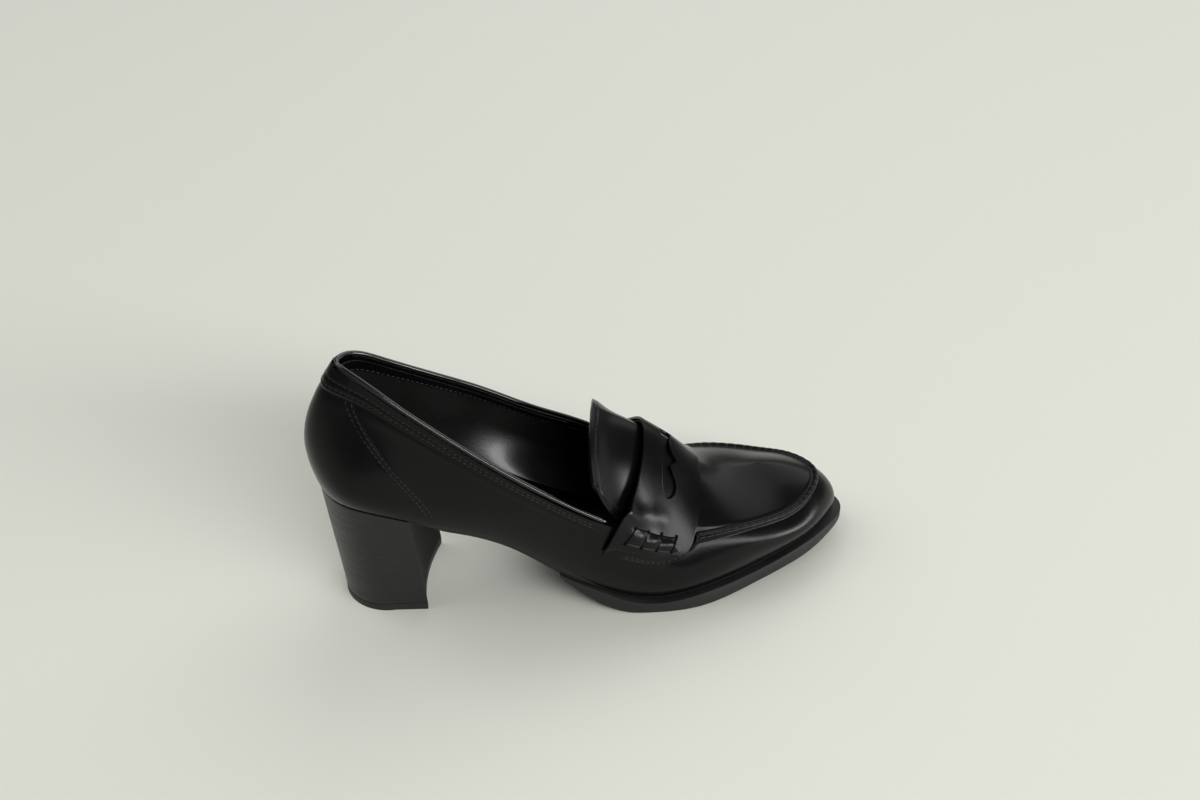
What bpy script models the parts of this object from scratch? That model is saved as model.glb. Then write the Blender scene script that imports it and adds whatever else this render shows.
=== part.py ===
"""Heeled penny loafer, right shoe: a leather pump with a moccasin toe, a saddle strap and a block heel.

Sizes are in millimetres, and MM turns them into Blender's metres. X runs from heel to toe, Y towards the
inner side of the foot and Z up, with the floor at Z 0. The last is one smooth form: three lines run round
the shoe, from the back of the heel along the outer side to the toe and back along the inner side, and a
wall and a cap join them. Upper, tongue and strap are sheets laid on that form. A place on it is a way
round, in millimetres along the lower edge, and a height up: 0 at the lower edge, 1 at the shoulder and
2 at the ridge.
"""

import math
from collections import namedtuple

import bmesh
import bpy
import numpy as np

MM = 0.001
GAP = 0.3

# Thicknesses
UPPER_WALL = 2.2
TONGUE_WALL = 1.8
STRAP_WALL = 2.0
INSOLE_WALL = 2.2
SEAT_WALL = 1.0
WAIST_WALL = 3.2
STEP_WALL = 4.7
FOREPART_WALL = 1.2
BINDING_RADIUS = 1.1
BINDING_GAP = 0.4
BINDING_END_OUTER = 129
BINDING_END_INNER = 137

# The last, a row for each station from the back of the heel to the tip of the toe.
# Feather: the lower edge of the upper, as its place along, its middle and its half width.
# Low and high: where the handles of the wall's curve stand, out and up from the feather, and out and down
# from the shoulder.
# Shoulder: the apron seam in front, and a line close to the collar at the back.
# Ridge: the top of the form, on which its two sides meet.
Station = namedtuple(
    "Station",
    "name feather_x feather_mid feather_half low_out low_up high_out high_down "
    "shoulder_x shoulder_mid shoulder_half shoulder_z ridge_x ridge_y ridge_z",
)
STATIONS = (
    Station("heel_back", 6.5, 4, 0, 4, 15, 20, 30, 18, 1.5, 0, 121.5, 50, 1, 136),
    Station("heel_corner", 15, 2, 18, 8, 16, 8, 30, 27, 2, 9, 121.5, 52, 1, 135.5),
    Station("heel_side", 38, 1.5, 24, 6.5, 17, 3, 28, 42.5, 0, 16, 115, 62, 0, 131.5),
    Station("waist_back", 72, -2, 23.5, 6, 16, 5.5, 24, 77, -2, 25, 102, 84, -2, 121),
    Station("waist", 105, -5.5, 27, 4.5, 14, 6.5, 18, 108, -6.5, 30.5, 87, 108, -5, 96),
    Station("ball_back", 136, -5, 34.5, 4.5, 11, 8, 9.5, 137.5, -4, 33, 47, 134.5, -1, 80),
    Station("ball", 162.5, -3.5, 38, 4.5, 9, 7.5, 8.5, 156, -4.5, 32.5, 33.5, 157, -2, 63.5),
    Station("toe_joint", 193.5, 0, 32.5, 5, 8, 9, 7, 185, -4.5, 30.5, 34, 179, -3, 45.2),
    Station("toe_side", 217, 1, 23.5, 5, 7, 8, 6, 211, -0.5, 23, 29.5, 192, -1, 41.5),
    Station("toe_corner", 232.5, 1, 11.5, 3, 7, 6.5, 6, 224, 0, 12.5, 31, 199, 0, 41),
    Station("toe_tip", 239, 0, 0, 1, 7, 8, 6, 229.5, 0, 0, 31.5, 201, 0, 41),
)

# Side view: the feather line, which the sole follows, and the collar edge, which the throat closes in front
Height = namedtuple("Height", "x z")
FEATHER_HEIGHTS = (
    Height(0, 62.5),
    Height(20, 62),
    Height(45, 53),
    Height(72, 44),
    Height(100, 28.5),
    Height(125, 12),
    Height(145, 7.5),
    Height(165, 9.5),
    Height(195, 11),
    Height(220, 13.5),
    Height(240, 13),
)
COLLAR_HEIGHTS = (
    Height(-5, 121.5),
    Height(15, 122.5),
    Height(40, 109),
    Height(70, 87.5),
    Height(100, 68.5),
    Height(120, 56),
    Height(131, 49.5),
    Height(142, 45),
    Height(152, 41.5),
)
# The cap: how far in and up from the shoulder to the ridge its curve turns
CROWN_IN = 0.58
CROWN_UP = 0.9
COLLAR_TILT = 0.04
THROAT_BACK_WAY = 128
THROAT_FRONT_WAY = 180
ARCH_LIFT = 3.0
ARCH_X = 98
ARCH_REACH = 34

# Steps in the upper's wall: the counter at the back, the band along the collar and the moccasin seam
COUNTER_FOOT_WAY = 59
COUNTER_TOP_WAY = 18.5
COUNTER_END_WAY = 110
COUNTER_STEP = 0.6
BAND_START = 0.9
BAND_STEP = 0.6
BAND_END_WAY = 126
SEAM_RISE = 1.7
SEAM_START_OUTER = 177
SEAM_START_INNER = 185
SEAM_START_REACH = 8
SEAM_ROWS = (0.473, 0.4935, 0.5155, 0.5455)
ROWS = (0, 0.12, 0.26, 0.4) + SEAM_ROWS + (0.66, 0.78, 0.893, 0.907, 1)
# Columns of the upper from the heel to the toe: the way each run ends and its number of columns
COLUMN_RUNS = ((25, 5), (58.5, 5), (59.5, 1), (128, 10), (150, 5), (182, 13), (226, 7), (None, 7))

# Saddle strap, a row for each place from the ridge down either side: half of the way over the last, from
# 0 at the ridge to 1 at the feather, and the ways of its rear and front edges there
StrapRow = namedtuple("StrapRow", "side rear front")
STRAP = (
    StrapRow(0, 157, 190),
    StrapRow(0.1, 155, 188.5),
    StrapRow(0.23, 151.2, 185.7),
    StrapRow(0.35, 145.2, 183),
    StrapRow(0.42, 140.8, 181),
    StrapRow(0.48, 137, 178.3),
    StrapRow(0.54, 134, 174.8),
    StrapRow(0.6, 132, 169.5),
    StrapRow(0.65, 130.6, 162.5),
    StrapRow(0.7, 129.2, 150),
    StrapRow(0.775, 127, 134),
)
STRAP_SKEW = 15
STRAP_GAP = 0.7
STRAP_END_REAR = 0.775
STRAP_END_FRONT = 0.7

# Slot of the strap, from its middle to one end: the ways of its rear and front edges, counted from its line
SlotRow = namedtuple("SlotRow", "side rear front")
SLOT = (
    SlotRow(0, 0, 8.5),
    SlotRow(0.055, 0, 5),
    SlotRow(0.08, 0, 4),
    SlotRow(0.12, 0, 5),
    SlotRow(0.165, 0, 7.5),
    SlotRow(0.195, 0.5, 6.5),
    SlotRow(0.21, 2, 4.5),
)
SLOT_SIDE = -0.135
SLOT_WAY = 166
SLOT_BEND = 45
SLOT_CUT_TOP = 4

# Tongue: the ways of its free edge and of its hidden front edge, and its flare
TongueRow = namedtuple("TongueRow", "side rear front")
TONGUE = (
    TongueRow(0, 131, 190),
    TongueRow(0.1, 128.7, 187),
    TongueRow(0.24, 125.2, 181),
    TongueRow(0.38, 123.2, 175),
    TongueRow(0.46, 123.7, 171),
    TongueRow(0.505, 124.3, 168),
    TongueRow(0.54, 126, 166),
    TongueRow(0.565, 129.3, 165),
    TongueRow(0.585, 134, 164),
)
TONGUE_END = 0.585
TONGUE_GAP = 0.7
TONGUE_RISE = 2.4
TONGUE_DIP = 4
TONGUE_DIP_REACH = 10
TONGUE_SKEW = 30
TONGUE_FLARE = 1.6
TONGUE_FLARE_INNER = 2.8
TONGUE_FLARE_REACH = 8.0

# Sole and heel
WELT = 2.7
TOE_WELT = 1.0
TOE_WELT_REACH = 50
WELT_START = 0.15
WELT_START_REACH = 0.25
SOLE_EDGE_INSET = 0.6
MIDSOLE_INSET = 0.6
SEAT_INSET = 1.2
SEAT_END_X = 44
STEP_X = 104
STEP_HEIGHT = 19
FLAT_BACK_X = 137
FLAT_FRONT_X = 162
TOE_SPRING = 6.5
TOE_X = 238
HEEL_INSET = 0.4
HEEL_TOP_FRONT_OUTER = 41.5
HEEL_TOP_FRONT_INNER = 53
HEEL_FOOT_RADIUS = 19.6
HEEL_FOOT_CENTRE = (33, 2)
HEEL_FOOT_FRONT_OUTER = (47, -20)
HEEL_FOOT_FRONT_INNER = (58.5, 22.5)
HEEL_ROUND_SHARE = 0.6
BREAST_HOLLOW = 3.2
TOP_LIFT = 3.5

# Where the middle of the shoe's box lies in these sizes
CENTRE_X = 122.5
CENTRE_Y = -3.9

# Colours as painted, with their roughness
Finish = namedtuple("Finish", "colour roughness")
BLACK_CALF = Finish((0.012, 0.012, 0.013), 0.35)
DARK_LINING = Finish((0.03, 0.025, 0.022), 0.6)
STACKED_HEEL = Finish((0.02, 0.02, 0.02), 0.45)
BLACK_RUBBER = Finish((0.03, 0.03, 0.03), 0.7)


def spline(knots, values, closed=False):
    """A smooth line through rows of values, one for each knot. A closed one ends where it begins."""
    knots = np.asarray(knots, float)
    values = np.asarray(values, float).reshape(len(knots), -1)
    steps = np.diff(knots)
    slopes = np.diff(values, axis=0) / steps[:, None]
    system = np.eye(len(knots))
    push = np.zeros_like(values)
    for i in range(1, len(knots) - 1):
        system[i, i - 1 : i + 2] = steps[i - 1], 2 * (steps[i - 1] + steps[i]), steps[i]
        push[i] = 6 * (slopes[i] - slopes[i - 1])
    if closed:
        system[0, -1] = -1
        system[-1, [0, 1, -2, -1]] = 2 * steps[0], steps[0], steps[-1], 2 * steps[-1]
        push[-1] = 6 * (slopes[0] - slopes[-1])
    bends = np.linalg.solve(system, push)

    def at(where):
        where = np.asarray(where, float)
        i = np.clip(np.searchsorted(knots, where, side="right") - 1, 0, len(steps) - 1)
        step = steps[i][..., None]
        b = (where - knots[i])[..., None] / step
        a = 1 - b
        curve = (a**3 - a) * bends[i] + (b**3 - b) * bends[i + 1]
        return a * values[i] + b * values[i + 1] + curve * step**2 / 6

    return at


def table_line(rows, key, column):
    """One column of a table as a smooth line over its key column."""
    line = spline([getattr(row, key) for row in rows], [getattr(row, column) for row in rows])
    return lambda where: line(where)[..., 0]


def smooth_step(t):
    t = np.clip(t, 0, 1)
    return t * t * (3 - 2 * t)


seat_line = table_line(FEATHER_HEIGHTS, "x", "z")
collar_line = table_line(COLLAR_HEIGHTS, "x", "z")
strap_rear = table_line(STRAP, "side", "rear")
strap_front = table_line(STRAP, "side", "front")
tongue_rear = table_line(TONGUE, "side", "rear")
tongue_front = table_line(TONGUE, "side", "front")


def station_row(station, side):
    """The values of one station on the outer side, -1, or the inner side, 1."""
    return (
        station.feather_x,
        station.feather_mid + side * station.feather_half,
        station.low_out,
        station.low_up,
        station.high_out,
        station.high_down,
        station.shoulder_x,
        station.shoulder_mid + side * station.shoulder_half,
        station.shoulder_z,
        station.ridge_x,
        station.ridge_y,
        station.ridge_z,
    )


def last_lines():
    """The closed lines of the last, and how far it is round from the heel's back to the toe's tip."""
    outer = np.array([station_row(s, -1) for s in STATIONS], float)
    inner = np.array([station_row(s, 1) for s in STATIONS], float)
    strides = [np.linalg.norm(np.diff(side[:, :2], axis=0), axis=1) for side in (outer, inner)]
    half = np.concatenate([[0], np.cumsum((strides[0] + strides[1]) / 2)])
    knots = np.concatenate([half, 2 * half[-1] - half[-2::-1]])
    return spline(knots, np.vstack([outer, inner[-2::-1]]), closed=True), half[-1]


LAST, TOE_WAY = last_lines()


def feather_plan(way, out=0.0):
    """The feather line seen from above, moved out by a margin, and its outward direction."""
    reach = 0.05
    ahead = LAST(np.mod(way + reach, 2 * TOE_WAY))[..., :2]
    behind = LAST(np.mod(way - reach, 2 * TOE_WAY))[..., :2]
    along = (ahead - behind) / np.linalg.norm(ahead - behind, axis=-1, keepdims=True)
    normal = np.stack([along[..., 1], -along[..., 0]], axis=-1)
    return LAST(np.mod(way, 2 * TOE_WAY))[..., :2] + normal * np.asarray(out, float)[..., None], normal


def seat_height(x, across):
    """The height of the foot's bed: across is 0 at the outer edge and 1 at the inner one."""
    arch = ARCH_LIFT * np.exp(-(((x - ARCH_X) / ARCH_REACH) ** 2))
    return seat_line(x) + arch * across


def stack(plan, z):
    return np.concatenate([plan, z[..., None]], axis=-1)


def last_point(way, up):
    """A point of the last, which is the outside of the upper's leather."""
    way, up = np.broadcast_arrays(np.mod(way, 2 * TOE_WAY), np.asarray(up, float))
    lines = LAST(way)
    plan, normal = feather_plan(way)
    feather = stack(plan, seat_height(plan[..., 0], (way > TOE_WAY).astype(float)))
    outwards = stack(normal, np.zeros_like(plan[..., 0]))
    upwards = np.array([0.0, 0.0, 1.0])
    shoulder = lines[..., 6:9]
    ridge = lines[..., 9:12]
    low = feather + outwards * lines[..., 2:3] + upwards * lines[..., 3:4]
    high = shoulder + outwards * lines[..., 4:5] - upwards * lines[..., 5:6]
    crown = shoulder + (ridge - shoulder) * (CROWN_IN, CROWN_IN, CROWN_UP)
    s = np.clip(up, 0, 1)[..., None]
    r = np.clip(up - 1, 0, 1)[..., None]
    wall = (1 - s) ** 3 * feather + 3 * s * (1 - s) ** 2 * low + 3 * s**2 * (1 - s) * high + s**3 * shoulder
    cap = (1 - r) ** 2 * shoulder + 2 * r * (1 - r) * crown + r**2 * ridge
    return np.where(up[..., None] <= 1, wall, cap)


def lifted(way, up, lift):
    """A point that stands off the last by a lift along its outward normal."""
    reach = 0.02
    up_low = np.clip(up - reach, 0, 2 - 2 * reach)
    along = last_point(way + 1.0, up) - last_point(way - 1.0, up)
    upwards = last_point(way, up_low + 2 * reach) - last_point(way, up_low)
    normal = np.cross(along, upwards)
    normal = normal / np.linalg.norm(normal, axis=-1, keepdims=True)
    return last_point(way, up) + normal * np.asarray(lift, float)[..., None]


def over_point(way, side, lift):
    """A lifted point on the way over the last: side is -1 at the outer feather, 0 on the ridge and 1 at the
    inner feather."""
    return lifted(np.where(side > 0, 2 * TOE_WAY - way, way), 2 - 2 * np.abs(side), lift)


def collar_up(way):
    """How far up the collar cuts the last, or 2 where the upper runs on to the ridge."""
    ups = np.linspace(0, 2, 801)
    points = last_point(way[..., None], ups)
    edge = collar_line(points[..., 0]) + COLLAR_TILT * points[..., 1]
    cut = ups[np.argmax(points[..., 2] > edge, axis=-1)]
    near_way = np.minimum(way, 2 * TOE_WAY - way)
    throat = 2 * (near_way - THROAT_BACK_WAY) / (THROAT_FRONT_WAY - THROAT_BACK_WAY)
    return np.clip(np.maximum(cut, throat), 0, 2)


def make_material(name, finish):
    material = bpy.data.materials.new(name)
    material.use_nodes = True
    shader = material.node_tree.nodes["Principled BSDF"]
    shader.inputs["Base Color"].default_value = (*finish.colour, 1)
    shader.inputs["Roughness"].default_value = finish.roughness
    shader.inputs["Metallic"].default_value = 0
    return material


def add_piece(name, data, finish, parent):
    """Puts a mesh or a curve in the parent's collection as a piece of the shoe."""
    data.materials.append(make_material(name, finish))
    piece = bpy.data.objects.new(name, data)
    piece.parent = parent
    parent.users_collection[0].objects.link(piece)
    return piece


def mesh_from(name, shape):
    mesh = bpy.data.meshes.new(name)
    bm = bmesh.new()
    shape(bm)
    bmesh.ops.remove_doubles(bm, verts=bm.verts, dist=0.01 * MM)
    bm.to_mesh(mesh)
    bm.free()
    mesh.shade_smooth()
    mesh.set_sharp_from_angle(angle=math.radians(35))
    return mesh


def add_grid(bm, columns, rows, point):
    """Adds a grid whose corners, at u and v from 0 to 1, move to point(u, v)."""
    corners = bmesh.ops.create_grid(bm, x_segments=columns, y_segments=rows, size=1)["verts"]
    uv = np.array([corner.co[:2] for corner in corners]) / 2 + 0.5
    for corner, place in zip(corners, point(uv[:, 0], uv[:, 1])):
        corner.co = place * MM


def thicken(piece, wall):
    thick = piece.modifiers.new("Thickness", "SOLIDIFY")
    thick.thickness = wall * MM
    thick.offset = -1
    thick.use_even_offset = True


def sheet(name, columns, rows, point, wall, finish, parent):
    """A surface thickened inwards."""
    mesh = mesh_from(name, lambda bm: add_grid(bm, columns, rows, point))
    piece = add_piece(name, mesh, finish, parent)
    thicken(piece, wall)
    return piece


def block(name, segments, point, finish, parent):
    """A box of so many segments along, across and up, whose corners move to point(along, across, up)."""

    def shape(bm):
        for axis in range(3):
            others = [i for i in range(3) if i != axis]
            for end in (0.0, 1.0):

                def face(u, v):
                    place = {axis: np.full_like(u, end), others[0]: u, others[1]: v}
                    return point(place[0], place[1], place[2])

                add_grid(bm, segments[others[0]], segments[others[1]], face)
        bmesh.ops.remove_doubles(bm, verts=bm.verts, dist=0.01 * MM)
        bmesh.ops.recalc_face_normals(bm, faces=bm.faces)

    add_piece(name, mesh_from(name, shape), finish, parent)


def column_ways():
    """Ways of the upper's columns from the heel's back round to it again."""
    ways = [0.0]
    for end, count in COLUMN_RUNS:
        ways += list(np.linspace(ways[-1], end or TOE_WAY, count + 1)[1:])
    return np.array(ways + [2 * TOE_WAY - way for way in ways[-2::-1]])


def upper_lift(foot_way, way, share, inner):
    """Steps in the upper's wall: the counter, the collar band and the moccasin seam."""
    counter = COUNTER_STEP * (foot_way < COUNTER_FOOT_WAY)
    band = BAND_STEP * (share > BAND_START) * (way < BAND_END_WAY)
    ridge = np.interp(share, SEAM_ROWS, (0, 1, 1, 0))
    start = np.where(inner, SEAM_START_INNER, SEAM_START_OUTER)
    seam = SEAM_RISE * ridge * smooth_step((way - start) / SEAM_START_REACH)
    return counter + band + seam


def upper_point(u, v):
    """The columns lean back from foot to top, so that one of them follows the counter's front seam."""
    ways = column_ways()
    share = np.interp(v, np.linspace(0, 1, len(ROWS)), ROWS)
    foot_way = np.interp(u, np.linspace(0, 1, len(ways)), ways)
    inner = foot_way > TOE_WAY
    foot_way = np.where(inner, 2 * TOE_WAY - foot_way, foot_way)
    bounds = (0, COUNTER_FOOT_WAY, COUNTER_END_WAY, TOE_WAY)
    top_way = np.interp(foot_way, bounds, (0, COUNTER_TOP_WAY, COUNTER_END_WAY, TOE_WAY))
    way = foot_way + (top_way - foot_way) * smooth_step(share**1.25)
    lift = upper_lift(foot_way, way, share, inner)
    way = np.where(inner, 2 * TOE_WAY - way, way)
    way = np.where(np.isclose(way, 2 * TOE_WAY), 0, way)
    return lifted(way, collar_up(way) * share, lift)


def make_upper(parent):
    columns = len(column_ways()) - 1
    sheet("upper", columns, len(ROWS) - 1, upper_point, UPPER_WALL, BLACK_CALF, parent)


def sole_plan(outer_way, inner_way, across, out):
    """A point of the sole's plan between the outer edge, across 0, and the inner edge, across 1."""
    outer, _ = feather_plan(outer_way, out)
    inner, _ = feather_plan(2 * TOE_WAY - inner_way, out)
    return outer + (inner - outer) * across[..., None]


def make_insole(parent):
    def point(along, across, up):
        way = along * TOE_WAY
        plan = sole_plan(way, way, across, np.full_like(along, -UPPER_WALL - 2 * GAP))
        return stack(plan, seat_height(plan[..., 0], across) + GAP + INSOLE_WALL * up)

    block("insole", (40, 3, 1), point, DARK_LINING, parent)


def midsole_wall(x):
    waist = smooth_step((x - SEAT_END_X) / 14)
    swell = smooth_step((x - STEP_X + 24) / 24)
    forepart = smooth_step((x - STEP_X) / 20)
    waist_wall = WAIST_WALL + (STEP_WALL - WAIST_WALL) * swell
    wall = SEAT_WALL + (waist_wall - SEAT_WALL) * waist
    return wall + (FOREPART_WALL - wall) * forepart


def make_midsole(parent):
    def point(along, across, up):
        way = along * TOE_WAY
        inset = SEAT_INSET + (MIDSOLE_INSET - SEAT_INSET) * smooth_step((way - SEAT_END_X) / 14)
        plan = sole_plan(way, way, across, -inset)
        x = plan[..., 0]
        return stack(plan, seat_height(x, across) - GAP - midsole_wall(x) * (1 - up))

    block("midsole", (40, 3, 1), point, BLACK_CALF, parent)


def sole_bottom(x):
    """The outsole's underside: a curve up into the waist, a flat under the ball and the toe spring."""
    back = STEP_HEIGHT * (np.clip(FLAT_BACK_X - x, 0, None) / (FLAT_BACK_X - STEP_X)) ** 2
    return back + TOE_SPRING * (np.clip(x - FLAT_FRONT_X, 0, None) / (TOE_X - FLAT_FRONT_X)) ** 1.35


def way_at(x, inner=False):
    """The way on one side at which the feather line reaches a place along the shoe."""
    ways = np.linspace(0, TOE_WAY, 4001)
    xs = LAST(2 * TOE_WAY - ways if inner else ways)[..., 0]
    return float(ways[np.argmax(xs >= x)])


def make_outsole(parent):
    outer_start = way_at(STEP_X)
    inner_start = way_at(STEP_X, inner=True)

    def point(along, across, up):
        outer_way = outer_start + (TOE_WAY - outer_start) * along
        inner_way = inner_start + (TOE_WAY - inner_start) * along
        welt = WELT + TOE_WELT * smooth_step((outer_way - TOE_WAY) / TOE_WELT_REACH + 1)
        welt = welt * (WELT_START + (1 - WELT_START) * smooth_step(along / WELT_START_REACH))
        plan = sole_plan(outer_way, inner_way, across, welt - SOLE_EDGE_INSET * (up == 0))
        x = plan[..., 0]
        top = seat_height(x, across) - midsole_wall(x) - 2 * GAP
        bottom = sole_bottom(x)
        rise = np.where(up == 0, bottom, np.minimum(bottom + SOLE_EDGE_INSET, top - SOLE_EDGE_INSET))
        return stack(plan, np.where(up == 1, top, rise))

    block("outsole", (36, 3, 2), point, BLACK_RUBBER, parent)


def heel_foot_plan(along, across):
    """The heel's outline at its foot: half a circle that runs out to two front corners."""
    turn = np.pi / 2 * np.clip(along / HEEL_ROUND_SHARE, 0, 1)
    run = np.clip((along - HEEL_ROUND_SHARE) / (1 - HEEL_ROUND_SHARE), 0, 1)[..., None]
    ends = []
    for side, corner in ((-1, HEEL_FOOT_FRONT_OUTER), (1, HEEL_FOOT_FRONT_INNER)):
        arc = np.stack([-np.cos(turn), side * np.sin(turn)], axis=-1) * HEEL_FOOT_RADIUS + HEEL_FOOT_CENTRE
        ends.append(arc + (np.array(corner) - arc) * run)
    return ends[0] + (ends[1] - ends[0]) * across[..., None]


def hollow_breast(plan, along, across):
    """Draws the middle of the heel's front face in."""
    plan[..., 0] -= BREAST_HOLLOW * along**4 * (1 - (2 * across - 1) ** 2)
    return plan


def make_heel(parent):
    outer_front = way_at(HEEL_TOP_FRONT_OUTER)
    inner_front = way_at(HEEL_TOP_FRONT_INNER, inner=True)

    def heel_point(along, across, up):
        inset = np.full_like(along, -HEEL_INSET)
        top = sole_plan(outer_front * along, inner_front * along, across, inset)
        top = hollow_breast(top, along, across)
        top = stack(top, seat_height(top[..., 0], across) - midsole_wall(top[..., 0]) - 2 * GAP)
        foot = hollow_breast(heel_foot_plan(along, across), along, across)
        foot = stack(foot, np.full_like(along, TOP_LIFT + GAP))
        return foot + (top - foot) * up[..., None]

    def lift_point(along, across, up):
        return stack(hollow_breast(heel_foot_plan(along, across), along, across), TOP_LIFT * up)

    block("heel", (16, 5, 2), heel_point, STACKED_HEEL, parent)
    block("top_lift", (16, 5, 1), lift_point, BLACK_RUBBER, parent)


def skewed(line, side, skew):
    """A line given for the outer side, with the inner side set forwards along the ball of the foot."""
    return line(np.abs(side)) + skew * np.clip(side, 0, None)


def strap_place(across, along):
    """The way and the side of a point of the strap: across runs from the rear edge to the front edge, and
    along from the outer end to the inner end."""
    end = STRAP_END_REAR + (STRAP_END_FRONT - STRAP_END_REAR) * across
    side = end * (2 * along - 1)
    rear = skewed(strap_rear, side, STRAP_SKEW)
    return rear + (skewed(strap_front, side, STRAP_SKEW) - rear) * across, side


def slot_point(u, v):
    """A point of the slot: u runs from its rear edge to its front, and v from its outer end to its inner end."""
    rows = SLOT[:0:-1] + SLOT
    signs = np.repeat((-1, 1), (len(SLOT) - 1, len(SLOT)))
    steps = np.linspace(0, 1, len(rows))
    side = SLOT_SIDE + np.interp(v, steps, signs * [row.side for row in rows])
    rear = np.interp(v, steps, [row.rear for row in rows])
    front = np.interp(v, steps, [row.front for row in rows])
    way = SLOT_WAY - SLOT_BEND * side**2 + rear + (front - rear) * u
    return over_point(way, side, np.full_like(u, SLOT_CUT_TOP))


def make_slot_cutter(parent, collection):
    """A thick sheet in the slot's outline that passes through the strap."""
    mesh = mesh_from("slot_cutter", lambda bm: add_grid(bm, 2, 2 * len(SLOT) - 2, slot_point))
    cutter = bpy.data.objects.new("slot_cutter", mesh)
    cutter.parent = parent
    cutter.hide_render = True
    cutter.display_type = "WIRE"
    collection.objects.link(cutter)
    thicken(cutter, SLOT_CUT_TOP)
    return cutter


def make_strap(parent, cutters):
    def point(u, v):
        way, side = strap_place(u, v)
        return over_point(way, side, np.full_like(u, STRAP_GAP + STRAP_WALL))

    strap = sheet("saddle_strap", 8, 40, point, STRAP_WALL, BLACK_CALF, parent)
    cut = strap.modifiers.new("Slot", "BOOLEAN")
    cut.operation = "DIFFERENCE"
    cut.object = make_slot_cutter(parent, cutters)


def make_tongue(parent):
    """The tongue lies inside the upper, rises to meet the strap and flares at its free edge."""

    def point(u, v):
        side = TONGUE_END * (2 * v - 1)
        far = np.abs(side)
        rear = skewed(tongue_rear, side, TONGUE_SKEW)
        way = rear + (tongue_front(far) - rear) * u
        throat = THROAT_FRONT_WAY + (THROAT_BACK_WAY - THROAT_FRONT_WAY) * far
        free = smooth_step((throat - TONGUE_DIP - way) / TONGUE_DIP_REACH)
        middle = smooth_step((0.56 - far) / 0.3)
        curl = np.interp(side, (-0.05, 0.15), (TONGUE_FLARE, TONGUE_FLARE_INNER))
        flare = curl * np.exp(-(((way - rear) / TONGUE_FLARE_REACH) ** 2)) * middle
        lift = -UPPER_WALL - TONGUE_GAP + free * middle * TONGUE_RISE + flare
        return over_point(way, side, lift)

    sheet("tongue", 10, 28, point, TONGUE_WALL, BLACK_CALF, parent)


def make_binding(parent):
    """The rolled edge of the collar, from one side of the throat round the heel to the other."""
    ways = np.linspace(-BINDING_END_INNER, BINDING_END_OUTER, 57)
    ups = collar_up(np.mod(ways, 2 * TOE_WAY))
    depth = np.full_like(ways, -UPPER_WALL / 2 + BAND_STEP / 2)
    edge = lifted(ways, ups, depth)
    below = lifted(ways, ups - 0.02, depth)
    rise = (edge - below) / np.linalg.norm(edge - below, axis=-1, keepdims=True)
    places = edge + rise * (BINDING_RADIUS + BINDING_GAP)
    curve = bpy.data.curves.new("collar_binding", "CURVE")
    curve.dimensions = "3D"
    curve.bevel_depth = BINDING_RADIUS * MM
    curve.bevel_resolution = 1
    curve.use_fill_caps = True
    line = curve.splines.new("POLY")
    line.points.add(len(places) - 1)
    for point, place in zip(line.points, places):
        point.co = (*(place * MM), 1)
    add_piece("collar_binding", curve, BLACK_CALF, parent)


def main():
    for old in list(bpy.data.objects):
        bpy.data.objects.remove(old)
    shoe = bpy.data.collections.new("heeled_penny_loafer")
    cutters = bpy.data.collections.new("cutters")
    for collection in (shoe, cutters):
        bpy.context.scene.collection.children.link(collection)
    middle = bpy.data.objects.new("shoe_middle", None)
    middle.location = (-CENTRE_X * MM, -CENTRE_Y * MM, 0)
    shoe.objects.link(middle)
    make_upper(middle)
    make_insole(middle)
    make_midsole(middle)
    make_outsole(middle)
    make_heel(middle)
    make_strap(middle, cutters)
    make_tongue(middle)
    make_binding(middle)


main()
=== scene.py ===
"""Looks of the heeled penny loafer: leather, lining, stitching, sole, heel and a plain studio round them.

Sizes are in millimetres from the shoe's own corner, as in the part's source, and in_frame() takes them to
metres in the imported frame. The upper, tongue and strap are sheets on one last. A place on the last is a way
round its lower edge, from the back of the heel along the outer side to the toe and back along the inner
side, and a height up: 0 at the lower edge, 1 at the shoulder and 2 at the ridge.
"""

import math
from collections import namedtuple

import bpy
import numpy as np
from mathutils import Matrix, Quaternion, Vector


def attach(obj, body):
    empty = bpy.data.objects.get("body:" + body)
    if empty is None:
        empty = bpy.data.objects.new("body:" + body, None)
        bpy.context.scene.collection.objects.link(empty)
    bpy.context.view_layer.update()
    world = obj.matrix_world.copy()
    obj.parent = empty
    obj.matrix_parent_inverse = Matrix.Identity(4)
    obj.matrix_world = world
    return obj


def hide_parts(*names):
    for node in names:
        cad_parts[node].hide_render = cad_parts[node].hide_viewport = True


bl_info = {
    "name": "Heeled Penny Loafer",
    "version": (1, 0, 0),
    "blender": (4, 5, 0),
    "location": "View3D > Sidebar > Loafer",
    "description": "Dresses the packed heeled penny loafer in leather, stitching, sole and heel",
    "category": "Object",
}

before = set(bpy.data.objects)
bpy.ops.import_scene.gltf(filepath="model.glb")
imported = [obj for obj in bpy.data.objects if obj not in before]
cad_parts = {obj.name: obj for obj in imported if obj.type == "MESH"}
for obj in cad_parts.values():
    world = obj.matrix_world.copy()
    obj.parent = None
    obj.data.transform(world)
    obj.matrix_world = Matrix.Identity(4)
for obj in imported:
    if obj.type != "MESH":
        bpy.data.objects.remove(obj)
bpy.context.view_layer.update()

MM = 0.001
GAP = 0.3
WELD_REACH = 0.01
NORMAL_REACH = 0.02
CENTRE = np.array([122.5, -3.9, 0.0])


def rows_of(kind, *rows):
    """A table whose rows have named values."""
    return tuple(kind(*row) for row in rows)


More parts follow.
